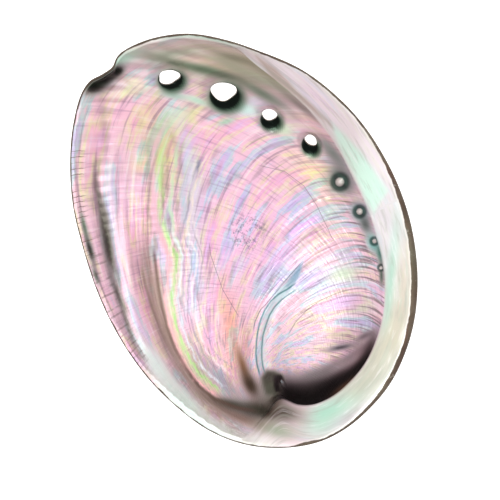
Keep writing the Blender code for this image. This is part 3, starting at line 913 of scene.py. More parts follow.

# %% [markdown]
# Dark places: stains round the holes and blisters, near black in the notch, painted shade along the
# groove, and painted shade in the pit of the spire, with some dark stain there. Patches with nearly sharp
# edges are given by their outline.

# %% Dark spots and crisp patches
DARK_SPOTS = (
    # holes and blisters
    ((344, 177), 13, 6, -50, (112, 122, 116), 0.8),
    ((341, 182), 11, 9, -50, (60, 80, 72), 0.85),
    ((361, 211), 8, 7, -60, (56, 104, 104), 0.9),
    ((367, 224), 9, 5, -70, (78, 96, 90), 0.85),
    ((375, 243), 8, 5, -70, (86, 176, 164), 0.9),
    ((381.5, 254), 8, 3, -78, (64, 120, 104), 0.95),
    ((383, 275), 10, 2, -88, (60, 84, 66), 0.9),
    # the notch
    ((117, 71), 6, 4, 30, (12, 16, 12), 1.0),
    ((105, 78), 11, 7, 38, (14, 18, 14), 1.0),
    ((93, 86), 9, 6, 30, (16, 24, 14), 1.0),
    # the groove by the lip, darkened with painted shade, and the green marks outside it
    ((107, 246), 26, 4.5, -80, (56, 64, 54), 0.95),
    ((103, 220), 13, 3, -82, (84, 90, 78), 0.85),
    ((100, 205), 18, 2.5, -78, (110, 102, 98), 0.8),
    ((117, 294), 17, 2.2, -68, (92, 94, 90), 0.8),
    ((127, 326), 12, 1.8, -72, (110, 104, 104), 0.7),
    ((84, 226), 12, 2, -76, (84, 110, 88), 0.85),
    ((90, 250), 12, 2.6, -74, (46, 56, 46), 0.9),
    ((96, 276), 8, 2, -70, (60, 70, 60), 0.85),
    # the pit, painted shade with some dark stain, the curl, and painted shade below the curl
    ((360, 356), 22, 7, 50, (104, 88, 94), 0.8),
    ((342, 349), 12, 2.6, 12, (66, 62, 68), 0.9),
    ((366, 337), 9, 3, 28, (92, 80, 86), 0.8),
    ((324, 379), 38, 8, 24, (120, 106, 112), 0.8),
    ((348, 366), 13, 2.5, 32, (176, 158, 160), 0.7),
    ((270, 387), 8, 10, 0, (92, 92, 80), 0.9),
    ((274, 402), 10, 6, -10, (96, 92, 80), 0.9),
    # small hollows in the floor
    ((198, 165), 2.2, 6, -10, (96, 104, 118), 0.8),
    ((238, 175), 3, 2, 0, (150, 176, 184), 0.8),
)
PIT_SHEEN = (
    ((357, 358), 13, 4.5, 48, (150, 126, 132), 0.8),
    ((341, 368), 15, 4.5, 28, (170, 152, 158), 0.8),
    ((317, 377), 17, 5, 12, (122, 112, 114), 0.7),
    ((345, 388), 16, 2.6, 38, (96, 70, 44), 0.7),
)
# Crisp patches: (outline in pixels, blur in pixels, colour, strength)
FLOOR_PATCHES = (
    (
        ((261, 380), (267, 372), (275, 373), (283, 376), (285, 382), (280, 385), (282, 393),
         (276, 399), (266, 396)), 3.0, (84, 84, 72), 0.9,
    ),
    (
        ((275, 378), (282, 377), (284, 382), (279, 386), (281, 393), (276, 394), (274, 386)),
        1.5, (40, 32, 34), 0.9,
    ),
    (
        ((304, 260), (302, 272), (298, 281), (291, 289), (279, 297), (285, 286), (293, 275)),
        2.0, (128, 164, 190), 0.9,
    ),
    (
        ((291, 287), (284, 296), (273, 305), (266, 312), (274, 301), (281, 293)),
        2.0, (196, 220, 236), 0.8,
    ),
)
SHELF_PATCHES = (
    (
        ((332, 123), (346, 136), (358, 148.5), (371, 166), (382, 182), (388, 191), (379, 203),
         (374.5, 213), (366, 199), (356, 177), (345, 156), (338, 141)), 3.0, (206, 244, 226), 0.8,
    ),
    (
        ((255, 55), (275, 68), (300, 92), (330, 121), (334, 128), (320, 116), (297, 95), (272, 76)),
        2.0, (172, 160, 140), 0.7,
    ),
)


print("dark spots:", len(DARK_SPOTS), "and patches:", len(FLOOR_PATCHES) + len(SHELF_PATCHES))

# %% [markdown]
# The washes are mixed as they look on a screen, because a painter judges them there, and turned into
# light only at the end. A halo is a dark green ring round a hole, the shell's own stain, and it is
# shifted to the side where the hole's wall shows, as painted shade of that wall.

# %% Brush, patch and halo
def linear(colour):
    """Display colour from 0 to 255 as light."""
    c = np.asarray(colour, float) / 255.0
    return np.where(c <= 0.04045, c / 12.92, ((c + 0.055) / 1.055) ** 2.4)


def display(colour):
    return np.asarray(colour, float) / 255.0


WASH_FALL = 0.7


def brush(colours, washes):
    """Lays soft ovals of colour over the vertices, one after the other."""
    px, py = to_photo(facts.x, facts.y)
    for (cx, cy), along, across, tilt, colour, strength in washes:
        turn = math.radians(tilt)
        u = (px - cx) * math.cos(turn) - (py - cy) * math.sin(turn)
        v = (px - cx) * math.sin(turn) + (py - cy) * math.cos(turn)
        cover = strength * np.exp(-((u / along) ** 2 + (v / across) ** 2) * WASH_FALL)
        colours = mix(colours, display(colour), cover[:, None])
    return colours


def patch(colours, outline, blur, colour, strength):
    """Fills an outline with a colour, up to a nearly sharp edge."""
    px, py = to_photo(facts.x, facts.y)
    inside, gap = np.zeros(px.shape, bool), np.full(px.shape, 1e3)
    for (ax, ay), (bx, by) in zip(outline, outline[1:] + outline[:1]):
        dx, dy = bx - ax, by - ay
        inside ^= ((ay > py) != (by > py)) & (px < ax + (py - ay) * dx / dy)
        along = np.clip(((px - ax) * dx + (py - ay) * dy) / (dx * dx + dy * dy), 0.0, 1.0)
        gap = np.minimum(gap, np.hypot(px - ax - along * dx, py - ay - along * dy))
    cover = strength * ease(-blur, blur, np.where(inside, gap, -gap))
    return mix(colours, display(colour), cover[:, None])


def halo(colours, hole, shift, reach, colour, strength):
    """Darkens a ring round a hole, thicker on the side that the shift points to."""
    pixel, length, width, tilt = hole
    place = (pixel[0] + shift[0], pixel[1] + shift[1])
    cover = strength * (1 - ease(reach[0], reach[1], hole_reach(facts, place, length, width, tilt)))
    return mix(colours, display(colour), cover[:, None])


print("mid grey on a screen is", round(float(linear(128)), 3), "of white as light")

# %% [markdown]
# Now the washes are laid, floor first and shelf over it. Under the shelf's edge the pit is painted nearly
# black, painted shade with some dark stain, deepest beside the spire. Where the wash is dark or green,
# fewer pastel flecks will show.

# %% Lay the washes
# A dark green stain round each open hole, with painted shade shifted to the side where the hole's wall
# shows.
HALOS = (
    # (shift in pixels, where the ring starts to fade and ends, colour, strength)
    ((2, 2), (1.0, 2.0), (116, 130, 110), 0.55),
    ((2.5, 3), (0.9, 1.7), (56, 84, 66), 0.85),
    ((1, 1.5), (0.9, 1.25), (14, 24, 18), 1.0),
)
PIT_ANGLES = ((236, 248), (284, 306))
PIT_DEEP_ANGLES = ((240, 250), (262, 296))
PIT_REACH = (3.0, 12.5)
PIT_FADE = (0.15, 1.1)
PIT_SHADE_AND_STAIN_COLOUR = (10, 7, 6)
LOW_SHELF_STARTS = (245, 260)
PALE_RIM_ANGLES = ((60, 75), (86, 93))
SHELF_END_PIXEL = (266, 416)
wash = brush(np.tile(display(FLOOR_COLOUR), (len(places), 1)), FLOOR_WASHES + WALL_SHADE_AND_REFLECTION_WASHES + DARK_SPOTS)
for hole in OPEN_HOLES.values():
    for ring in HALOS:
        wash = halo(wash, hole, *ring)
# Painted shade under the shelf's edge, near black, with some dark stain of the pit.
pit_reach = mix(*PIT_REACH, window(facts.angle, *PIT_DEEP_ANGLES))
pit_shade_and_stain = window(facts.angle, *PIT_ANGLES) * (1 - ease(*PIT_FADE, -facts.edge_gap / pit_reach))
wash = mix(wash, display(PIT_SHADE_AND_STAIN_COLOUR), (pit_shade_and_stain * facts.on_floor)[:, None])
wash = brush(wash, PIT_SHEEN)
shelf_wash = brush(np.tile(display(SHELF_COLOUR), (len(places), 1)), RIDGE_WASHES) * SHELF_SHADE
for details in FLOOR_PATCHES:
    wash = patch(wash, *details)
for details in SHELF_PATCHES:
    shelf_wash = patch(shelf_wash, *details)
near_rim = 1 - ease(0.8, 2.4, facts.rim_gap)
pale_rim = 0.9 * near_rim * window(facts.angle, *PALE_RIM_ANGLES)
shelf_end = ease(*LOW_SHELF_STARTS, facts.angle) + (facts.angle < LOW_END_SIDE)
shelf_share = np.maximum(facts.on_shelf * shelf_end, pale_rim)
wash = mix(wash, shelf_wash, shelf_share[:, None])
wall_share = ease(0.0, 5.0, facts.off_row) * (facts.turned < math.radians(120))
pinkness = mix(0.15, 1.0, ease(-0.04, 0.05, wash[:, 0] - wash[:, 1]))
fleck_share = mix(0.9 - 0.5 * wall_share, 0.25, facts.on_shelf) * pinkness
fleck_share *= ease(0.45, 0.86, wash.mean(1)) * (1 - 0.85 * bump(facts.gap_to(SHELF_END_PIXEL), 11.0))
print("mean colour:", [round(255 * float(part)) for part in wash.mean(0)])

# %% [markdown]
# Some lines of the pearl follow no growth line: scars of the muscle, cracks, and the folds' own edges.
# They are given by a few pixels each. Their distances keep their sign, because a signed distance
# crosses zero cleanly between two vertices and a plain one doesn't.

# %% Lines with a route of their own
MUSCLE_LINE = ((255, 163), (285, 170), (305, 185), (318, 205), (330, 230), (336, 244))
SCAR_LINE = ((208, 240), (210, 255), (222, 290), (240, 320))
WEDGE_LINE = (
    (253, 335), (255, 323), (260, 312), (268, 303), (275, 295), (282, 286), (294, 272), (303, 262),
)
TEAL_OUTER = (
    (299, 282), (288, 290), (279, 295), (271, 302), (265, 311), (261, 321), (258, 332), (256.5, 344),
    (256, 355), (257, 366), (261, 381),
)
TEAL_INNER = (
    (300, 288), (290, 295), (282, 301), (275, 308), (270, 316), (266, 327), (263, 338), (262, 350),
    (262, 360), (263, 368), (266, 378),
)
GREEN_LINE = (
    (166, 222), (167.5, 235), (171, 246), (175.5, 257), (175, 270), (172.5, 285), (171.5, 298), (173, 312),
    (177, 330), (183, 348), (191, 364), (200, 376), (212, 386), (226, 396),
)
FOLD_EDGE = (
    (151, 240), (154, 262), (157, 285), (161, 308), (166, 328), (174, 349), (185, 369), (198, 387),
    (214, 400), (236, 409), (262, 414),
)
FOLD_FOOT = (
    (140, 262), (144, 285), (151, 308), (160, 332), (171, 354), (184, 375), (200, 394), (222, 411),
    (250, 424),
)
INNER_ARC = ((366, 288), (352, 290), (338, 294), (322, 301), (308, 311), (296, 324), (288, 338))
LINE_FADE = 0.08


def hairline(pixels):
    """Signed distance to a line, and how strongly it shows: nothing past its ends."""
    signed, share = facts.gap_to_line(pixels)
    return signed, window(share, (0.0, LINE_FADE), (1 - LINE_FADE, 1.0)) * facts.on_floor


muscle, muscle_shown = hairline(MUSCLE_LINE)
scar, scar_shown = hairline(SCAR_LINE)
wedge, wedge_shown = hairline(WEDGE_LINE)
outer_teal, outer_teal_shown = hairline(TEAL_OUTER)
inner_teal, inner_teal_shown = hairline(TEAL_INNER)
arc, arc_shown = hairline(INNER_ARC)
green, green_shown = hairline(GREEN_LINE)
fold_edge, fold_edge_shown = hairline(FOLD_EDGE)
fold_foot, fold_foot_shown = hairline(FOLD_FOOT)
print("vertices within a millimetre of the green line:", int((np.abs(green) < 1.0).sum()))

# %% [markdown]
# Everything that the material reads is stored on the mesh as attributes of three numbers each: where a
# place is in the growth of the shell, how far it is from each line, and how strongly each one shows.
# Object coordinates alone couldn't do it, because the pearl's pattern bends with the growth lines.

# %% Store what the material reads
def store(name, *columns):
    attribute = mesh.attributes.new(name, "FLOAT_VECTOR", "POINT")
    values = np.stack([np.broadcast_to(column, len(places)) for column in columns], -1)
    attribute.data.foreach_set("vector", values.astype(np.float32).ravel())


MEAN_RADIUS = 55.0
# Nothing reads a distance past this one, counted in sizes of a hole.
FAR = 4.0
lines = {name: facts.gap_to_growth_line(table) for name, table in (
    ("groove", LIP_GROOVE), ("fold", DARK_FOLD), ("yellow", YELLOW_RIDGE),
    ("long", LONG_RIDGE), ("short", SHORT_RIDGE), ("chain", CHAIN),
)}
lip_side = ease(97, 104, facts.berth) * facts.on_floor * ease(40, 60, facts.from_apex)
RIM_BAND = (
    # (angle about the bowl, width of the crust that shows round the rim from above, in millimetres)
    (0, 1.7), (15, 1.2), (28, 0.85), (60, 0.8), (98, 0.7), (140, 0.45), (180, 0.45), (215, 0.45),
    (240, 0.5), (247, 0.6), (252, 1.2), (257, 0.8), (262, 0.7), (275, 1.2), (290, 1.7), (310, 2.0),
    (330, 2.15), (350, 1.9),
)
signed_rim_gap = np.where(facts.step > RIM_STEP + 1.0, -facts.rim_gap, facts.rim_gap)
crust_gap = signed_rim_gap - around(RIM_BAND, facts.angle)
rough_patch = ease(0.35, 0.8, bump(facts.gap_to(SCAR_PATCH), 8.5)) * facts.on_floor
run_along = np.radians(facts.angle) * MEAN_RADIUS
worn = ease(0.5, 0.9, bump(np.hypot(facts.x - 8.0, facts.y + 16.0), 17.0)) * facts.outside

store("growth_facts", facts.age, facts.berth, facts.lane)
store("fold_gaps", lines["groove"], lines["fold"], lines["chain"])
store(
    "fold_shares",
    window(facts.berth, (100, 108), (138, 150)) * facts.on_floor,
    window(facts.berth, (108, 128), (205, 225)) * facts.on_floor,
    window(facts.berth, (116, 124), (190, 225)) * facts.on_floor,
)
store("ridge_gaps", lines["yellow"], lines["long"], lines["short"])
store(
    "ridge_shares",
    lip_side * (1 - ease(140, 156, facts.berth)),
    lip_side * (1 - ease(142, 158, facts.berth)),
    lip_side * (1 - ease(122, 132, facts.berth)),
)
store("scratch_gaps", muscle, scar, wedge)
store("scratch_shares", muscle_shown, scar_shown, wedge_shown)
store("teal_gaps", outer_teal, inner_teal, arc)
store("teal_shares", outer_teal_shown, inner_teal_shown, arc_shown)
store("fold_line_gaps", green, fold_edge, fold_foot)
store("fold_line_shares", green_shown, fold_edge_shown, fold_foot_shown)
right_side = 0.15 + 0.85 * ease(-0.1, 0.5, np.cos(np.radians(facts.angle + 35.0)))
store("rim_facts", crust_gap, signed_rim_gap, facts.on_shelf)
store("shelf_place", facts.edge_gap, run_along, rough_patch)
store("back_facts", worn, right_side, facts.from_apex)
blister_reach = np.min([facts.gap_to(pixel) / ring for pixel, ring, _ in SEALED_HOLES.values()], axis=0)
blister_reach += FAR * (1 - facts.on_floor)
hole_edge = np.min([hole_reach(facts, *hole) for hole in OPEN_HOLES.values()], axis=0)
store("hole_facts", np.minimum(blister_reach, FAR), np.minimum(hole_edge, FAR), fleck_share)
store("wash", *linear(255 * wash).T)
print("attributes:", [a.name for a in mesh.attributes])

# %% [markdown]
# The shell lies on its back where it balances, worn a little flat there. Letting it fall in a simulation
# would find much the same pose, but it has to be the CAD's, so its pitch, roll and wear are repeated.

# %% Lay it down, in metres
REST_PITCH = -3.0
REST_ROLL = -0.6
WORN_DEPTH = 0.8
tip = Matrix.Rotation(math.radians(REST_ROLL), 4, "Y") @ Matrix.Rotation(math.radians(REST_PITCH), 4, "X")
mesh.transform(tip)
places = places_of(mesh)
lowest = places[:, 2].min() + WORN_DEPTH
places[:, 2] = np.maximum(places[:, 2], lowest)
middle = (places[:, :2].min(0) + places[:, :2].max(0)) / 2
rest_shift = np.array([-middle[0], -middle[1], -lowest])
set_places(mesh, (places + rest_shift) * MM)
for face in mesh.polygons:
    face.use_smooth = True
shell = bpy.data.objects.new("pearl_shell", mesh)
bpy.context.scene.collection.objects.link(shell)
print("laid down, shifted by", [round(float(v), 2) for v in rest_shift], "mm")

# %% [markdown]
# The finish is one material, because the shell is one piece: mother of pearl inside and a dull crust on
# the back, with a sharp mask between them. The helpers below only save typing: each adds a node,
# sets it and returns the output that the next node reads.

# %% Helpers for nodes
pearl = bpy.data.materials.new("mother_of_pearl_and_crust")
pearl.use_nodes = True
tree = pearl.node_tree
tree.nodes.clear()


def add(kind, inputs=None, output=0, **settings):
    """Adds a node, sets it, wires or sets its inputs, and returns one of its outputs."""
    node = tree.nodes.new("ShaderNode" + kind)
    for name, value in settings.items():
        setattr(node, name, value)
    for slot, value in (inputs or {}).items():
        if isinstance(value, bpy.types.NodeSocket):
            tree.links.new(value, node.inputs[slot])
        else:
            node.inputs[slot].default_value = value
    return node.outputs[output]


def math_of(operation, first, second=0.0):
    return add("Math", {0: first, 1: second}, operation=operation)


def product(first, *others):
    """All the values multiplied together."""
    for factor in others:
        first = math_of("MULTIPLY", first, factor)
    return first


def fade(value, start, end, low=0.0, high=1.0):
    """Goes smoothly from low to high as the value goes from start to end."""
    return add(
        "MapRange", {0: value, 1: start, 2: end, 3: low, 4: high}, interpolation_type="SMOOTHSTEP"
    )


def stripe(gap, middle, half_width):
    """1 on a line at a distance from another, fading to 0 at its half width."""
    off = math_of("ABSOLUTE", math_of("SUBTRACT", gap, middle))
    return fade(off, half_width, 0.0)


def rgb(colour):
    return (*[float(c) for c in linear(colour)], 1.0)


def paint(under, over, share, blend="MIX"):
    return add("Mix", {0: share, 6: under, 7: over}, output=2, data_type="RGBA", blend_type=blend)


def glaze(under, tint, *shares):
    """Lays a plain colour over another, as strongly as all the shares together allow."""
    return paint(under, rgb(tint), product(*shares))


def blend_values(share, low, high):
    return add("Mix", {0: share, 2: low, 3: high}, data_type="FLOAT")


def split(name):
    """The three parts of an attribute."""
    vector = add("Attribute", output=1, attribute_name=name)
    node = tree.nodes.new("ShaderNodeSeparateXYZ")
    tree.links.new(vector, node.inputs[0])
    return node.outputs


def noise(vector, scale, detail=3.0, roughness=0.55):
    return add("TexNoise", {0: vector, 2: scale, 3: detail, 4: roughness}, noise_dimensions="3D")


def stretched(*axes):
    """A place in a pattern, from values that each come with how finely the pattern follows them."""
    return add("CombineXYZ", {slot: product(value, scale) for slot, (value, scale) in enumerate(axes)})


def swing(pattern, size):
    """A noise pattern turned into a shift to either side."""
    return product(math_of("SUBTRACT", pattern, 0.5), size)


def ramp(value, stops):
    node = tree.nodes.new("ShaderNodeValToRGB")
    tree.links.new(value, node.inputs[0])
    elements = node.color_ramp.elements
    for place, colour in stops[1:-1]:
        elements.new(place).color = rgb(colour)
    elements[0].position, elements[0].color = stops[0][0], rgb(stops[0][1])
    elements[-1].position, elements[-1].color = stops[-1][0], rgb(stops[-1][1])
    return node.outputs[0]


age, berth, lane = split("growth_facts")
groove_off, fold_off, chain_off = split("fold_gaps")
groove_on, fold_on, chain_on = split("fold_shares")
yellow_off, long_off, short_off = split("ridge_gaps")
yellow_on, long_on, short_on = split("ridge_shares")
muscle_off, scar_off, wedge_off = split("scratch_gaps")
muscle_on, scar_on, wedge_on = split("scratch_shares")
outer_off, inner_off, arc_off = split("teal_gaps")
outer_on, inner_on, arc_on = split("teal_shares")
green_off, edge_line_off, foot_off = split("fold_line_gaps")
green_on, edge_line_on, foot_on = split("fold_line_shares")
crust_off, rim_off, on_shelf = split("rim_facts")
edge_off, shelf_run, rough_share = split("shelf_place")
worn_share, right_share, from_apex = split("back_facts")
blister_off, hole_off, fleck_share = split("hole_facts")
wash_colour = add("Attribute", attribute_name="wash")
object_place = add("TexCoord", output=3)
print("nodes that read the mesh:", len(tree.nodes))

# %% [markdown]
# Pearl is made of thin layers that change its hue a little here and there. Over the washes come pastel
# flecks, stretched along the growth lines on the outer floor, along the spirals nearer the spire, and
# along the edge on the shelf. A thin-film coat would shift with the view, and couldn't be exported.

# %% Pearl: pastel flecks
PASTELS = (
    (0.30, (240, 212, 255)), (0.38, (208, 222, 255)), (0.42, (202, 246, 246)), (0.46, (255, 226, 242)),
    (0.53, (255, 230, 236)), (0.57, (248, 250, 206)), (0.62, (255, 210, 230)), (0.72, (240, 212, 255)),
)
# Distances from the apex, in millimetres, over which growth flecks give way to spiral ones.
SPIRE_FLECKS = (54.0, 34.0)
growth_place = stretched((age, 0.24), (berth, 0.055))
spire_place = stretched((age, 0.1), (berth, 0.03))
shelf_grain = stretched((edge_off, 0.35), (shelf_run, 0.035))
growth_flecks = ramp(noise(growth_place, 1.0, 4.0), PASTELS)
spire_flecks = ramp(noise(spire_place, 1.0, 3.0), PASTELS)
shelf_flecks = ramp(noise(shelf_grain, 1.0, 3.0), PASTELS)
flecks = paint(growth_flecks, spire_flecks, fade(from_apex, *SPIRE_FLECKS))
flecks = paint(flecks, shelf_flecks, on_shelf)
colour = paint(wash_colour, flecks, fleck_share, "MULTIPLY")
clouds = noise(shelf_grain, 1.8, 5.0, 0.62)
colour = glaze(colour, (164, 168, 156), fade(clouds, 0.5, 0.34), on_shelf, 0.36)
colour = glaze(colour, (255, 252, 255), fade(clouds, 0.53, 0.68), on_shelf, 0.3)
print("pastels:", len(PASTELS))

# %% [markdown]
# Fine lines run both ways over the floor: dull and bright ones along the lips of every season, fainter
# ones along the spiral. The dull ones are partly painted shade in their dips and the bright ones partly
# painted highlights on their crests. They are finer than the mesh, so they are noise that is stretched a
# long way.

# %% Pearl: fine lines
fine_growth = noise(stretched((age, 1.1), (berth, 0.06)), 1.0, 3.0)
fine_spiral = noise(stretched((lane, 60.0), (age, 0.13)), 1.0, 2.0)
floor_share = math_of("SUBTRACT", 1.0, on_shelf)
lines_share = product(floor_share, fleck_share)
FINE_LINES = (
    # (noise, starts at, full at, colour, strength)
    # Dull lines are painted shade in the dips of the bump, bright lines painted highlights on its crests.
    (noise(growth_place, 1.7, 2.0), 0.47, 0.30, (158, 138, 144), 0.5),
    (fine_growth, 0.47, 0.30, (128, 100, 126), 0.6),
    (fine_growth, 0.54, 0.70, (255, 250, 253), 0.4),
    (fine_spiral, 0.47, 0.30, (146, 116, 146), 0.36),
    (fine_spiral, 0.54, 0.70, (255, 250, 252), 0.24),
)
for lines_noise, start, full, tint, strength in FINE_LINES:
    colour = glaze(colour, tint, fade(lines_noise, start, full), lines_share, strength)
print("kinds of fine line:", len(FINE_LINES))

# %% [markdown]
# Along the outer lip the ripples end in pillows whose feet get painted shade, and the lip itself has small
# dark ticks.
# Both follow the ripples of the relief, and both break off here and there. On the right, by the shelf,
# old lips show as dark thin lines.

# %% Pearl: pillows, ticks and old lips
rib_phase = math_of("ADD", product(lane, math.tau * RIBS_PER_LANE), product(fine_growth, 1.6))
broken = fade(noise(stretched((lane, 18.0), (age, 0.3)), 1.0, 2.0), 0.4, 0.56)
# Painted shade at the foot of each ripple, in its trough.
pillow_foot_shade = (
    fade(math_of("SINE", rib_phase), -0.3, -0.95), floor_share, fade(berth, 112.0, 120.0),
    fade(berth, 150.0, 140.0), fade(age, 4.8, 3.6), fade(age, 0.2, 0.8), broken,
)
ticks = (
    fade(math_of("SINE", product(rib_phase, 2.0)), 0.80, 0.97), broken, fade(berth, 101.5, 103.5),
    fade(berth, 124.0, 116.0), fade(age, 2.8, 1.6),
)
old_lips = (
    fade(fine_growth, 0.49, 0.40), fade(edge_off, -14.0, -4.0), lines_share,
    fade(right_share, 0.6, 0.95),
)
colour = glaze(colour, (112, 104, 98), *pillow_foot_shade, 0.6)
colour = glaze(colour, (104, 84, 66), *ticks, 0.8)
colour = glaze(colour, (112, 104, 104), *old_lips, 0.75)
print("ripples to a lane:", RIBS_PER_LANE)

# %% [markdown]
# Each old lip left a ridge with its own colours beside it, from green and pink on the outer ones to teal
# on the chain near the spire. The dark stripes in the trough of the dark fold and along the groove are
# painted shade. The stripes keep a distance from the ridge, waver a little and are uneven along it, so
# that they look grown. The rough patch is a scar with grey specks.

# %% Pearl: coloured stripes along the ridges
wobble = swing(noise(stretched((age, 0.24), (berth, 0.2)), 1.0, 3.0), 2.6)
uneven = fade(noise(growth_place, 3.5, 2.0), 0.34, 0.54, 0.3, 1.0)
STRIPES = (
    # (distance, where it shows, middle, half width in millimetres, colour, strength)
    (yellow_off, yellow_on, 0.3, 1.1, (190, 228, 150), 0.85),
    (yellow_off, yellow_on, -1.2, 0.9, (240, 192, 206), 0.8),
    (yellow_off, yellow_on, -2.4, 0.8, (170, 150, 140), 0.5),
    (yellow_off, yellow_on, 1.5, 0.7, (150, 142, 120), 0.6),
    (long_off, long_on, 0.0, 0.7, (200, 228, 190), 0.8),
    (long_off, long_on, 1.0, 0.6, (160, 160, 150), 0.5),
    (long_off, long_on, 2.2, 1.0, (190, 214, 226), 0.6),
    (long_off, long_on, 4.0, 0.6, (240, 226, 226), 0.6),
    (short_off, short_on, 0.0, 0.5, (250, 232, 214), 0.8),
    (short_off, short_on, -0.8, 0.4, (140, 140, 160), 0.5),
    # These two stripes are painted shade in the trough of the dark fold and in the groove.
    (fold_off, fold_on, 0.0, 2.6, (150, 128, 116), 0.55),
    (groove_off, groove_on, 0.0, 1.3, (98, 92, 82), 0.65),
    (groove_off, groove_on, 2.2, 1.2, (240, 216, 222), 0.5),
    (chain_off, chain_on, 0.9, 1.7, (218, 242, 248), 0.8),
    (green_off, green_on, -0.8, 1.9, (232, 222, 178), 0.5),
    (green_off, green_on, 0.0, 1.0, (164, 216, 132), 0.85),
    (green_off, green_on, -2.2, 1.2, (250, 186, 190), 0.85),
    (green_off, green_on, 1.9, 0.8, (226, 236, 244), 0.7),
    (green_off, green_on, 3.1, 0.6, (170, 160, 180), 0.6),
    (green_off, green_on, 5.0, 0.5, (156, 146, 166), 0.55),
    (green_off, green_on, 6.6, 0.8, (255, 240, 240), 0.6),
    (green_off, green_on, 8.6, 0.5, (150, 140, 158), 0.5),
)
HAIRLINES = (
    # (distance, where it shows, half width in millimetres, colour, strength)
    (muscle_off, muscle_on, 0.22, (150, 130, 140), 0.8),
    (scar_off, scar_on, 0.20, (120, 100, 120), 0.8),
    (wedge_off, wedge_on, 0.3, (92, 104, 122), 0.8),
    (outer_off, outer_on, 0.55, (60, 128, 134), 0.9),
    (inner_off, inner_on, 0.5, (72, 136, 140), 0.85),
    (arc_off, arc_on, 0.35, (140, 120, 134), 0.7),
    (edge_line_off, edge_line_on, 1.1, (98, 78, 68), 0.8),
    (foot_off, foot_on, 0.8, (128, 108, 100), 0.6),
)
for gap, shown, stripe_middle, half_width, tint, strength in STRIPES:
    mask = stripe(math_of("ADD", gap, wobble), stripe_middle, half_width)
    colour = glaze(colour, tint, mask, uneven, shown, strength)
for gap, shown, half_width, tint, strength in HAIRLINES:
    colour = glaze(colour, tint, stripe(gap, 0.0, half_width), shown, strength)
speckle = noise(object_place, 900.0, 3.0, 0.7)
colour = glaze(colour, (120, 118, 140), fade(speckle, 0.5, 0.36), rough_share, 0.7)
print("stripes:", len(STRIPES), "and hairlines:", len(HAIRLINES))

# %% [markdown]
# A sealed hole is a pearly blister in a dark ring, with a painted highlight on its pearl, and an open one
# has a dark edge of painted shade where its wall drops away. Both come from the distance to the hole,
# counted in its own size, so a small hole gets a narrow ring.

# %% Pearl: rings round the holes and blisters
RINGS = (
    # (distance in sizes of the hole, starts at, full at, colour, strength)
    (blister_off, 1.25, 0.8, (48, 68, 62), 0.8),
    (blister_off, 0.55, 0.3, (206, 204, 196), 0.9),
    # Painted highlight on the blister's pearl.
    (blister_off, 0.3, 0.1, (255, 250, 246), 0.6),
    # Painted shade round the open hole's edge.
    (hole_off, 1.16, 1.03, (8, 16, 12), 0.85),
)
for gap, start, full, tint, strength in RINGS:
    colour = glaze(colour, tint, fade(gap, start, full), strength)
print("rings:", len(RINGS))

# %% [markdown]
# The crust is dull, brown and lime-grey, with reddish bands along the growth lines and whitish specks. It
# is worn through to pearl where the shell lies, and darker along the rim.

# %% Crust
CRUST_BROWNS = (
    (0.25, (58, 44, 36)), (0.42, (96, 76, 60)), (0.55, (132, 116, 96)), (0.66, (158, 148, 128)),
    (0.8, (196, 190, 174)),
)
CRUST_GLAZES = (
    # (where it lies, colour, strength)
    (fade(noise(stretched((age, 0.12)), 1.0, 3.0), 0.5, 0.62), (124, 66, 50), 0.5),
    (fade(noise(object_place, 38.0, 4.0), 0.55, 0.66), (112, 118, 92), 0.5),
    (fade(noise(object_place, 620.0, 2.0, 0.6), 0.66, 0.74), (226, 220, 206), 0.7),
    (worn_share, (214, 206, 210), 0.85),
    (stripe(rim_off, 0.0, 4.0), (66, 53, 44), 0.8),
)
crust_colour = ramp(noise(object_place, 70.0, 6.0, 0.62), CRUST_BROWNS)
for share, tint, strength in CRUST_GLAZES:
    crust_colour = glaze(crust_colour, tint, share, strength)
print("browns:", len(CRUST_BROWNS), "and glazes:", len(CRUST_GLAZES))

# %% [markdown]
# Pearl and crust meet at the rim in a ragged line, with the pale cut edge of the pearl beside it. Pearl
# is smooth with faint lines, crust is matt and rough. The dark parts of the pearl mirror more than the
# pale parts do: its stains because the layers under them let no light back, and its painted shade so
# that it stays dark.

# %% Join pearl and crust
PEARL_ROUGHNESS = 0.30
SCAR_ROUGHNESS = 0.2
CRUST_ROUGHNESS = 0.82
SHELL_IOR = 1.5
BUMP_STRENGTH = 0.8
BUMP_HEIGHT = 0.0003
crust_edge = math_of("ADD", crust_off, swing(noise(object_place, 260.0, 3.0), 0.9))
is_crust = fade(crust_edge, 0.12, -0.12)
colour = glaze(colour, (240, 232, 222), stripe(crust_edge, 0.35, 0.35), right_share, 0.8)
base_colour = paint(colour, crust_colour, is_crust)
pearl_roughness = math_of("ADD", PEARL_ROUGHNESS, product(rough_share, SCAR_ROUGHNESS))
roughness = blend_values(is_crust, pearl_roughness, CRUST_ROUGHNESS)

lines_height = math_of("ADD", product(fine_growth, 0.6), product(fine_spiral, 0.5))
pearl_height = math_of("ADD", product(lines_height, floor_share), product(speckle, rough_share))
crust_height = product(noise(object_place, 420.0, 6.0, 0.65), 3.0)
height = blend_values(is_crust, pearl_height, crust_height)
bump_normal = add("Bump", {0: BUMP_STRENGTH, 1: BUMP_HEIGHT, 3: height})
brightness = add("RGBToBW", {0: colour})
mirroring = fade(brightness, 0.25, 0.04, 0.35, 0.9)
metallic = product(mirroring, math_of("SUBTRACT", 1.0, is_crust))

surface = add(
    "BsdfPrincipled",
    {
        "Base Color": base_colour, "Roughness": roughness, "Normal": bump_normal, "Metallic": metallic,
        "IOR": SHELL_IOR,
    },
)
output = tree.nodes.new("ShaderNodeOutputMaterial")
tree.links.new(surface, output.inputs[0])
mesh.materials.clear()
mesh.materials.append(pearl)
print("material nodes:", len(tree.nodes))

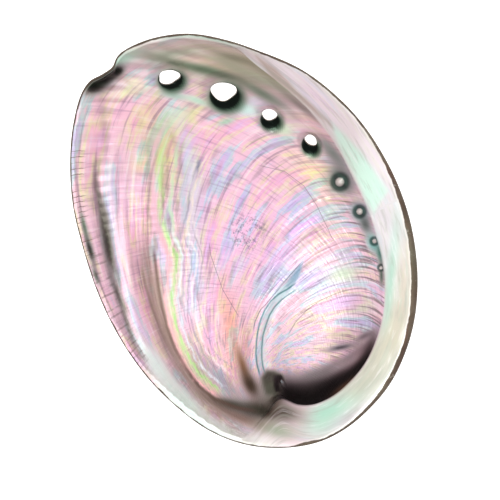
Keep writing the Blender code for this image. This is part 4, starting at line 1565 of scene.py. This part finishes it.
# %% [markdown]
# The stage is a white floor that glows a little, so that it shows pure white round the shell and through
# its holes. A white backdrop would do no better, because the camera looks straight down.

# %% Floor
FLOOR_HALF = 2.0
FLOOR_WHITE = (0.9, 0.9, 0.9, 1.0)
FLOOR_ROUGHNESS = 0.9
FLOOR_GLOW = 0.8


def add_floor():
    bm = bmesh.new()
    bmesh.ops.create_grid(bm, x_segments=1, y_segments=1, size=FLOOR_HALF)
    floor_mesh = bpy.data.meshes.new("white_floor")
    bm.to_mesh(floor_mesh)
    bm.free()
    white = bpy.data.materials.new("white_paper")
    white.use_nodes = True
    bsdf = white.node_tree.nodes["Principled BSDF"]
    bsdf.inputs["Base Color"].default_value = FLOOR_WHITE
    bsdf.inputs["Roughness"].default_value = FLOOR_ROUGHNESS
    bsdf.inputs["Emission Color"].default_value = (1.0, 1.0, 1.0, 1.0)
    bsdf.inputs["Emission Strength"].default_value = FLOOR_GLOW
    floor_mesh.materials.append(white)
    floor = bpy.data.objects.new("white_floor", floor_mesh)
    bpy.context.scene.collection.objects.link(floor)
    return floor


floor = add_floor()
print("floor:", 2 * FLOOR_HALF, "m square")

# %% [markdown]
# Two large soft lights and an even room light, as in the photograph, where no shadow is hard. The window
# is high up, so the folds shade only a little, and the fill comes lower from the right.

# %% Lights
# name: (place, size, power, what it points at), in metres and watts
LIGHTS = {
    "window": ((-0.28, 0.45, 0.9), 0.45, 3.3, (0.0, 0.0, 0.03)),
    "fill": ((1.0, 0.0, 0.4), 0.9, 3.0, (-0.02, 0.0, 0.03)),
}
ROOM_LIGHT = (1.0, 0.99, 0.97, 1.0)
ROOM_STRENGTH = 1.0


def add_light(name, place, size, power, target):
    data = bpy.data.lights.new(name, "AREA")
    data.shape = "DISK"
    data.size = size
    data.energy = power
    light = bpy.data.objects.new(name, data)
    light.location = place
    light.rotation_euler = (Vector(target) - Vector(place)).to_track_quat("-Z", "Y").to_euler()
    bpy.context.scene.collection.objects.link(light)


for name, details in LIGHTS.items():
    add_light(name, *details)
world = bpy.data.worlds.new("soft_room")
world.use_nodes = True
world.node_tree.nodes["Background"].inputs[0].default_value = ROOM_LIGHT
world.node_tree.nodes["Background"].inputs[1].default_value = ROOM_STRENGTH
bpy.context.scene.world = world
bpy.context.scene.view_settings.view_transform = "Standard"
print("lights:", len(LIGHTS))

# %% [markdown]
# The camera looks square into the mouth through a long lens, as the photograph does, and it is turned so
# that the shell leans as it does there. Its distance follows from the width of the photograph.

# %% Camera
LENS = 400.0
SENSOR = 36.0
PHOTO_WIDTH = 500
PHOTO_MIDDLE = (250.0, 250.0)
FARTHEST = 20.0
look = (tip.to_3x3() @ Vector((0.0, 0.0, 1.0))).normalized()
photo_up = (tip.to_3x3() @ Vector((math.sin(LEAN), math.cos(LEAN), 0.0))).normalized()
centre = from_photo(PHOTO_MIDDLE)
aim = (tip @ Vector((centre[0], centre[1], 0.0)) + Vector(rest_shift)) * MM
distance = LENS / SENSOR * PHOTO_WIDTH * PIXEL * MM
data = bpy.data.cameras.new("camera")
data.lens = LENS
data.sensor_width = SENSOR
data.clip_end = FARTHEST
camera = bpy.data.objects.new("camera", data)
right = photo_up.cross(look)
turn = Matrix((right, photo_up, look)).transposed().to_4x4()
camera.matrix_world = Matrix.Translation(aim + look * distance) @ turn
bpy.context.scene.collection.objects.link(camera)
bpy.context.scene.camera = camera
print("camera", round(distance, 3), "m from the mouth")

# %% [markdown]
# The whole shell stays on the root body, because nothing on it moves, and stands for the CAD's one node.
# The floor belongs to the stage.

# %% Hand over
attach(shell, "root")
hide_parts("shell")
bpy.context.view_layer.update()
